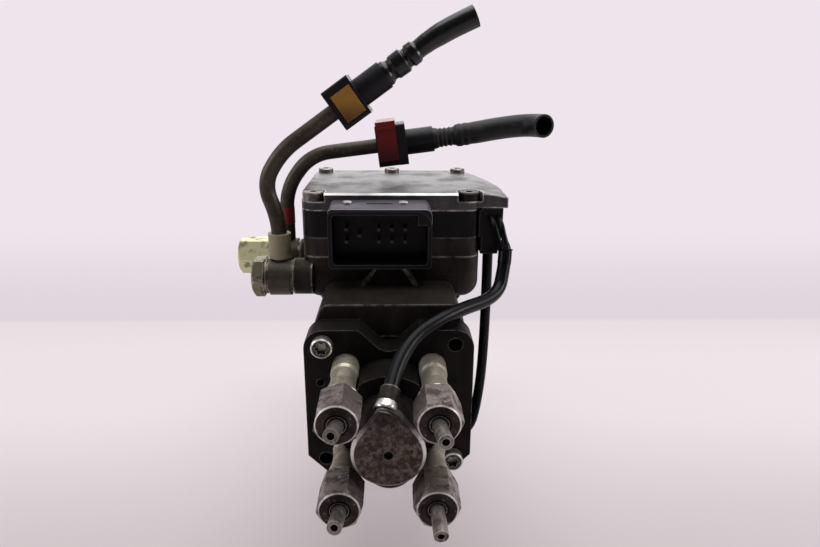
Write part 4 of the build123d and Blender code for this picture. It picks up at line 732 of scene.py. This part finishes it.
# (run, radius) along the bright foot of the gland
GLAND_FOOT_PROFILE = [(0.0, 4.9), (0.6, 5.15), (1.6, 5.1), (2.8, 4.7), (4.0, 4.35)]
# outline of the shroud's top seen from the head; what stands above the root rises backwards
SHROUD_TOP = [(-28.0, 82.6), (14.0, 82.6), (18.0, 80.0), (20.98, 77.2), (20.98, 81.6),
              (20.6, 83.2), (19.6, 84.4), (18.0, 84.9), (-28.2, 84.9), (-29.4, 84.3),
              (-29.95, 82.9)]
SHROUD_TOP_ROOT = 82.9
SHROUD_TOP_BACK = -90.1
SHROUD_TOP_RISE = 1.0               # at the back, as a share of the height above the root
SLOT_MIDDLE = Vector((-4.9, -96.0, 87.2))
SLOT_HALVES = Vector((6.4, 0.75, 1.9))
RIVET_PLACES = ((-20.8, -94.9, 86.3), (7.0, -94.9, 86.3))
RIVET_HEIGHT = 1.6
RIVET_EDGE = 0.6


def smooth_step(value, low, high):
    share = min(1.0, max(0.0, (value - low) / (high - low)))
    return share * share * (3 - 2 * share)


def profile_at(profile, run):
    """The radius at a run along a profile of (run, radius) pairs, eased between them."""
    for (low, before), (high, after) in zip(profile, profile[1:]):
        if run <= high:
            return before + (after - before) * smooth_step(run, low, high)
    return profile[-1][1]


# ---------------------------------------------------------------- settings
class PumpLooks(bpy.types.PropertyGroup):
    """Sizes and colours of the pieces added to the CAD model"""
    main_lead_radius: bpy.props.FloatProperty(
        name="Main lead radius", description="Half the width of the lead to the solenoid",
        default=3.3 * MM, unit="LENGTH")
    timing_lead_radius: bpy.props.FloatProperty(
        name="Timing lead radius", description="Half the width of the lead to the timing valve",
        default=2.75 * MM, unit="LENGTH")
    wire_radius: bpy.props.FloatProperty(
        name="Wire radius", description="Half the width of a wire where it enters the sheath",
        default=1.3 * MM, unit="LENGTH")
    hose_wall: bpy.props.FloatProperty(
        name="Hose wall", description="Thickness of both hoses", default=1.25 * MM,
        unit="LENGTH")
    band_bottom: bpy.props.FloatProperty(
        name="Band bottom", description="Height of the lower end of the red tape",
        default=64.2 * MM, unit="LENGTH")
    band_length: bpy.props.FloatProperty(
        name="Band length", description="Length of the red tape along the return tube",
        default=9.8 * MM, unit="LENGTH")
    rivet_radius: bpy.props.FloatProperty(
        name="Rivet radius", description="Half the width of a rivet on the shroud",
        default=2.5 * MM, unit="LENGTH")
    band_colour: bpy.props.FloatVectorProperty(
        name="Band colour", description="Colour of the tape on the return tube",
        default=(0.2, 0.008, 0.02), subtype="COLOR")
    backdrop_colour: bpy.props.FloatVectorProperty(
        name="Backdrop colour", description="Colour of the studio wall behind the pump",
        default=(0.855, 0.785, 0.84), subtype="COLOR")
    floor_colour: bpy.props.FloatVectorProperty(
        name="Floor colour", description="Colour of the studio floor round the pump",
        default=(0.88, 0.8, 0.83), subtype="COLOR")
    floor_rim_colour: bpy.props.FloatVectorProperty(
        name="Floor rim colour", description="Colour of the studio floor far from the pump",
        default=(0.66, 0.59, 0.61), subtype="COLOR")


def looks():
    return bpy.context.scene.pump_looks


# ---------------------------------------------------------------- pieces
CAMERA_PLACE = (2.6, -404.4, 149.4)     # in millimetres
CAMERA_FORWARD = Vector((0.0243, 0.9513, -0.3073))
CAMERA_UP = Vector((0.0013, 0.3074, 0.9516))
CAMERA_SENSOR = 36
CAMERA_LENS = 27.790244


class PUMP_OT_camera(bpy.types.Operator):
    """Add the camera in front of the hydraulic head, a little above it"""
    bl_idname = "pump.camera"
    bl_label = "Camera"

    def execute(self, context):
        clear_selection()
        bpy.ops.object.camera_add(location=[part * MM for part in CAMERA_PLACE])
        camera = bpy.context.object
        forward = CAMERA_FORWARD.normalized()
        side = forward.cross(CAMERA_UP).normalized()
        turned = Matrix((side, side.cross(forward), -forward)).transposed()
        camera.rotation_euler = turned.to_euler()
        camera.data.sensor_width = CAMERA_SENSOR
        camera.data.lens = CAMERA_LENS
        camera.data.clip_start = 0.01
        camera.data.clip_end = 20
        context.scene.camera = camera
        return {"FINISHED"}


class PUMP_OT_leads(bpy.types.Operator):
    """Add both electrical leads, the second wire and the mouth of the main lead's sheath"""
    bl_idname = "pump.leads"
    bl_label = "Leads"

    def execute(self, context):
        clear_selection()
        values = looks()
        main = route_curve("main_lead", MAIN_LEAD, values.main_lead_radius,
                           MAIN_LEAD_THICKNESS)
        wire = route_curve("second_wire", SECOND_WIRE, values.wire_radius)
        line, _ = centreline(MAIN_LEAD, LEAD_STEPS)
        sheathed = [point for point in line if point.z < SHEATH_TOP * MM][:MOUTH_STEPS]
        radii = [values.main_lead_radius + MOUTH_PROUD * MM
                 + MOUTH_FLARE * MM * smooth_step(FLARE_STEPS - step, 0, FLARE_STEPS)
                 for step in range(MOUTH_STEPS)]
        mouth = tube_along("sheath_mouth", sheathed, radii)
        thicken(mouth, MOUTH_WALL * MM)
        settle(mouth)
        for piece in (main, wire, mouth):
            dress(piece, "lead_sheath", "pump")
        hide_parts("solenoid_lead")
        centreline(MAIN_LEAD, 2)[1]
        timing = route_curve("timing_lead_line", TIMING_LEAD, values.timing_lead_radius)
        dress(timing, "lead_sheath", "pump", ("timing_lead",))
        centreline(TIMING_LEAD, 2)[1]
        return {"FINISHED"}


class PUMP_OT_hoses(bpy.types.Operator):
    """Add both hose ends with their shrunk, ribbed necks and open cut ends"""
    bl_idname = "pump.hoses"
    bl_label = "Hoses"

    def execute(self, context):
        clear_selection()
        wall = looks().hose_wall
        rows = (("supply_hose", SUPPLY_HOSE, SUPPLY_HOSE_PROFILE, "gloss_rubber",
                 "front_coupling", "front_hose"),
                ("return_hose", RETURN_HOSE, RETURN_HOSE_PROFILE, "hose_rubber",
                 "rear_coupling", "rear_hose"))
        for name, points, profile, material, body, node in rows:
            line, length = centreline(points, HOSE_STEPS)
            radii = [MM * profile_at(profile, length / MM * step / (HOSE_STEPS - 1))
                     for step in range(HOSE_STEPS)]
            hose = tube_along(name, line, radii)
            thicken(hose, wall)
            settle(hose, 50)
            dress(hose, material, body, (node,))
        return {"FINISHED"}


class PUMP_OT_tape(bpy.types.Operator):
    """Wrap the red marking tape round the foot of the return tube"""
    bl_idname = "pump.tape"
    bl_label = "Tube tape"

    def execute(self, context):
        clear_selection()
        values = looks()
        middle = values.band_bottom + values.band_length / 2
        bpy.ops.mesh.primitive_cylinder_add(
            vertices=64, radius=TAPE_RADIUS * MM, depth=values.band_length,
            end_fill_type="NOTHING",
            location=(RETURN_TUBE[0] * MM, RETURN_TUBE[1] * MM, middle))
        tape = bpy.context.object
        tape.name = "return_tube_tape"
        thicken(tape, TAPE_THICKNESS * MM)
        settle(tape)
        dress(tape, "red_tape", "pump")
        return {"FINISHED"}


def nut_back(number, x, z, turn):
    """The chamfered hexagonal back of a union nut, cut from a short round bar."""
    clear_selection()
    bpy.ops.mesh.primitive_cylinder_add(
        vertices=96, radius=NUT_BACK_RADIUS * MM, depth=NUT_BACK_LENGTH * MM,
        location=(x * MM, NUT_BACK_MIDDLE * MM, z * MM), rotation=(math.pi / 2, 0, 0))
    bar = bpy.context.object
    bar.name = f"nut_back_{number}"
    settle(bar)
    bpy.ops.object.mode_set(mode="EDIT")
    bpy.ops.mesh.select_mode(type="FACE")
    bpy.ops.mesh.select_all(action="DESELECT")
    bpy.ops.object.mode_set(mode="OBJECT")
    for face in bar.data.polygons:
        face.select = face.normal.y > 0.9
    bpy.ops.object.mode_set(mode="EDIT")
    bpy.ops.mesh.bevel(offset=NUT_CHAMFER * MM, segments=1, affect="EDGES")
    for side in range(6):
        angle = math.radians(turn + 30 + 60 * side)
        outward = Vector((math.cos(angle), 0, math.sin(angle)))
        flat = Vector((x, 0, z)) * MM + outward * NUT_HALF_FLATS * MM
        bpy.ops.mesh.select_all(action="SELECT")
        bpy.ops.mesh.bisect(plane_co=flat, plane_no=outward, use_fill=True, clear_outer=True)
    bpy.ops.object.mode_set(mode="OBJECT")
    settle(bar, 25)
    return bar


class PUMP_OT_collars(bpy.types.Operator):
    """Add the flared shoulder and the back of each union nut, and the gland's bright foot"""
    bl_idname = "pump.collars"
    bl_label = "Nut backs and gland foot"

    def execute(self, context):
        for number, ((x, z), turn) in enumerate(zip(OUTLETS, NUT_TURNS), start=1):
            shoulder = tube_along(f"nut_shoulder_{number}",
                                  [Vector((x, y, z)) * MM for y, radius in NUT_SHOULDER],
                                  [radius * MM for y, radius in NUT_SHOULDER], sides=64)
            settle(shoulder, 50)
            dress(shoulder, "yellow_zinc", "pump")
            dress(nut_back(number, x, z, turn), "worn_steel", "pump")
        foot = tube_along("gland_foot",
                          [(GLAND_FOOT + GLAND_DIRECTION * run) * MM
                           for run, radius in GLAND_FOOT_PROFILE],
                          [radius * MM for run, radius in GLAND_FOOT_PROFILE], sides=48)
        settle(foot, 50)
        dress(foot, "bright_steel", "pump")
        return {"FINISHED"}


def shroud_top():
    """The slotted top of the connector shroud, drawn as its outline at both ends."""
    corners = [(x * MM, y, (z + rise * max(0.0, z - SHROUD_TOP_ROOT)) * MM)
               for y, rise in ((SHROUD_FRONT, 0.0), (SHROUD_TOP_BACK * MM, SHROUD_TOP_RISE))
               for x, z in SHROUD_TOP]
    count = len(SHROUD_TOP)
    sides = [(side, (side + 1) % count, count + (side + 1) % count, count + side)
             for side in range(count)]
    ends = [tuple(reversed(range(count))), tuple(range(count, 2 * count))]
    mesh = bpy.data.meshes.new("shroud_top")
    mesh.from_pydata(corners, [], sides + ends)
    mesh.update()
    top = bpy.data.objects.new("shroud_top", mesh)
    bpy.context.scene.collection.objects.link(top)
    clear_selection()
    bpy.ops.mesh.primitive_cube_add(location=SLOT_MIDDLE * MM)
    slot = bpy.context.object
    slot.scale = SLOT_HALVES * MM
    cut = top.modifiers.new("slot", "BOOLEAN")
    cut.object = slot
    cut.operation = "DIFFERENCE"
    cut.solver = "EXACT"
    apply_all(top)
    bpy.data.objects.remove(slot)
    round_edges(top, 0.25 * MM, segments=2, angle=50)
    settle(top, 40)
    return top


class PUMP_OT_rivets(bpy.types.Operator):
    """Add the slotted top of the connector shroud and the two domed rivets on it"""
    bl_idname = "pump.rivets"
    bl_label = "Shroud top and rivets"

    def execute(self, context):
        dress(shroud_top(), "shroud_plastic", "pump")
        for number, place in enumerate(RIVET_PLACES, start=1):
            clear_selection()
            bpy.ops.mesh.primitive_cylinder_add(
                vertices=48, radius=looks().rivet_radius, depth=RIVET_HEIGHT * MM,
                location=[part * MM for part in place])
            rivet = bpy.context.object
            rivet.name = f"shroud_rivet_{number}"
            round_edges(rivet, RIVET_EDGE * MM, segments=4)
            settle(rivet, 50)
            dress(rivet, "rivet_metal", "pump")
        return {"FINISHED"}


class PUMP_OT_finishes(bpy.types.Operator):
    """Give every CAD node its finish"""
    bl_idname = "pump.finishes"
    bl_label = "CAD finishes"

    def execute(self, context):
        for name, nodes in NODE_FINISHES.items():
            for node in nodes:
                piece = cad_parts[node]
                piece.data.materials.clear()
                piece.data.materials.append(finish(name))
        return {"FINISHED"}


WALL_FOOT = 0.115       # where the floor turns into the backdrop, along Y
LAMP_AIM = Vector((0, -0.08, 0.04))
# name, place, width and power of each soft box
LAMPS = (("top_box", (0.05, 0.0, 0.95), 0.9, 7.0), ("left_box", (-0.9, -0.25, 0.45), 0.4, 2.6),
         ("right_box", (0.95, -0.2, 0.4), 0.35, 3.2), ("back_box", (0.0, 1.1, 0.6), 1.0, 5.0))


def floor_finish():
    """Pale floor with a soft shadow in front of the head, running into the paler backdrop."""
    made = Finish("floor_white")
    pale, grey, wall = (tuple(colour) for colour in (
        looks().floor_colour, looks().floor_rim_colour, looks().backdrop_colour))
    depth = made.along("Y")
    # painted shade: greyer in front of the pump
    dusk = (1 - made.band(depth, -0.19, -0.03)) * made.band(depth, -0.75, -0.4)
    near = made.mix(dusk, pale, grey)
    near = made.mix(made.band(depth, 0.02, WALL_FOOT), near, scaled(pale, 0.92))
    from_shadow = made.node("ShaderNodeMapping", {}, {
        "Vector": made.place, "Location": (0, 0.19, 0.062), "Scale": (1, 0.8, 1)})
    away = made.node("ShaderNodeVectorMath", {"operation": "LENGTH"},
                     {"Vector": from_shadow}, "Value")
    near = made.mix((1 - made.band(away, 0.01, 0.13)) * 0.55, near, scaled(grey, 0.5))
    foot = made.mix(made.band(depth, WALL_FOOT, WALL_FOOT + 0.35), scaled(wall, 0.86), wall)
    tone = made.mix(made.band(depth, WALL_FOOT - 0.006, WALL_FOOT + 0.006), near, foot)
    made.set(Base_Color=tone, Roughness=0.7)
    glow = made.node("ShaderNodeEmission", {}, {"Color": tone, "Strength": 1.0})
    far = made.band(depth, WALL_FOOT - 0.1, WALL_FOOT)
    # shiny faces mirror the floor beside and behind the pump, not in front of it
    beside = made.band(depth, -0.4, -0.1)
    share = made.ray("Is Camera Ray") * (0.6 + far * 0.4)
    share = share + made.ray("Is Glossy Ray") * beside * 0.4
    lit = made.node("ShaderNodeMixShader", {},
                    [share, Reading(made, made.shader.outputs[0]), glow])
    made.feed(made.nodes["Material Output"].inputs["Surface"], lit)
    return made.material


def studio_world():
    """A dim sky. The camera sees the backdrop, and shiny faces mirror it from behind."""
    world = bpy.data.worlds.new("studio")
    world.use_nodes = True
    made = Shading(world.node_tree)
    wall = tuple(looks().backdrop_colour)
    sky = made.nodes["Background"]
    made.feed(sky.inputs["Color"], (0.95, 0.91, 0.94))
    made.feed(sky.inputs["Strength"], 0.09)
    direction = made.node("ShaderNodeTexCoord", {}, {}, "Generated")
    backwards = made.node("ShaderNodeSeparateXYZ", {}, {"Vector": direction}, "Y")
    fade = made.node("ShaderNodeMapRange", {"interpolation_type": "SMOOTHSTEP"},
                     {"Value": backwards, "From Min": -0.55, "From Max": 0.45,
                      "To Min": 0.08, "To Max": 0.7})
    mirrored = made.node("ShaderNodeBackground", {}, {"Color": wall, "Strength": fade})
    backdrop = made.node("ShaderNodeBackground", {}, {"Color": wall, "Strength": 1.0})
    seen = made.sum("MAXIMUM", made.ray("Is Camera Ray"), made.ray("Is Transmission Ray"))
    around = made.node("ShaderNodeMixShader", {},
                       [made.ray("Is Glossy Ray"), Reading(made, sky.outputs[0]), mirrored])
    around = made.node("ShaderNodeMixShader", {}, [seen, around, backdrop])
    made.feed(made.nodes["World Output"].inputs["Surface"], around)
    return world


class PUMP_OT_stage(bpy.types.Operator):
    """Add the pale floor and backdrop, the world and the soft boxes"""
    bl_idname = "pump.stage"
    bl_label = "Studio"

    def execute(self, context):
        clear_selection()
        bpy.ops.mesh.primitive_plane_add(size=6, location=(0, 0.4, FLOOR_HEIGHT))
        floor = bpy.context.object
        floor.name = "studio_floor"
        settle(floor)
        floor.data.materials.append(floor_finish())
        context.scene.world = studio_world()
        for name, place, size, power in LAMPS:
            bpy.ops.object.light_add(type="AREA", location=place)
            lamp = bpy.context.object
            lamp.name = name
            lamp.data.size = size
            lamp.data.energy = power
            aim = LAMP_AIM - Vector(place)
            lamp.rotation_euler = aim.to_track_quat("-Z", "Y").to_euler()
        context.scene.view_settings.view_transform = "Standard"
        return {"FINISHED"}


class PUMP_PT_panel(bpy.types.Panel):
    """Buttons that make each group of pieces, and their sizes and colours"""
    bl_label = "Injection pump"
    bl_idname = "PUMP_PT_panel"
    bl_space_type = "VIEW_3D"
    bl_region_type = "UI"
    bl_category = "Injection pump"

    def draw(self, context):
        for operator in OPERATORS:
            self.layout.operator(operator.bl_idname)
        for name in PumpLooks.__annotations__:
            self.layout.prop(looks(), name)


OPERATORS = (PUMP_OT_camera, PUMP_OT_leads, PUMP_OT_finishes, PUMP_OT_hoses, PUMP_OT_tape,
             PUMP_OT_collars, PUMP_OT_rivets, PUMP_OT_stage)
CLASSES = (PumpLooks, *OPERATORS, PUMP_PT_panel)


def register():
    for entry in CLASSES:
        bpy.utils.register_class(entry)
    bpy.types.Scene.pump_looks = bpy.props.PointerProperty(type=PumpLooks)


def unregister():
    del bpy.types.Scene.pump_looks
    for entry in reversed(CLASSES):
        bpy.utils.unregister_class(entry)


def main():
    register()
    bpy.ops.pump.camera()
    bpy.ops.pump.leads()
    bpy.ops.pump.finishes()
    bpy.ops.pump.hoses()
    bpy.ops.pump.tape()
    bpy.ops.pump.collars()
    bpy.ops.pump.rivets()
    bpy.ops.pump.stage()
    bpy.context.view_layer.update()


if __name__ == "__main__":
    main()
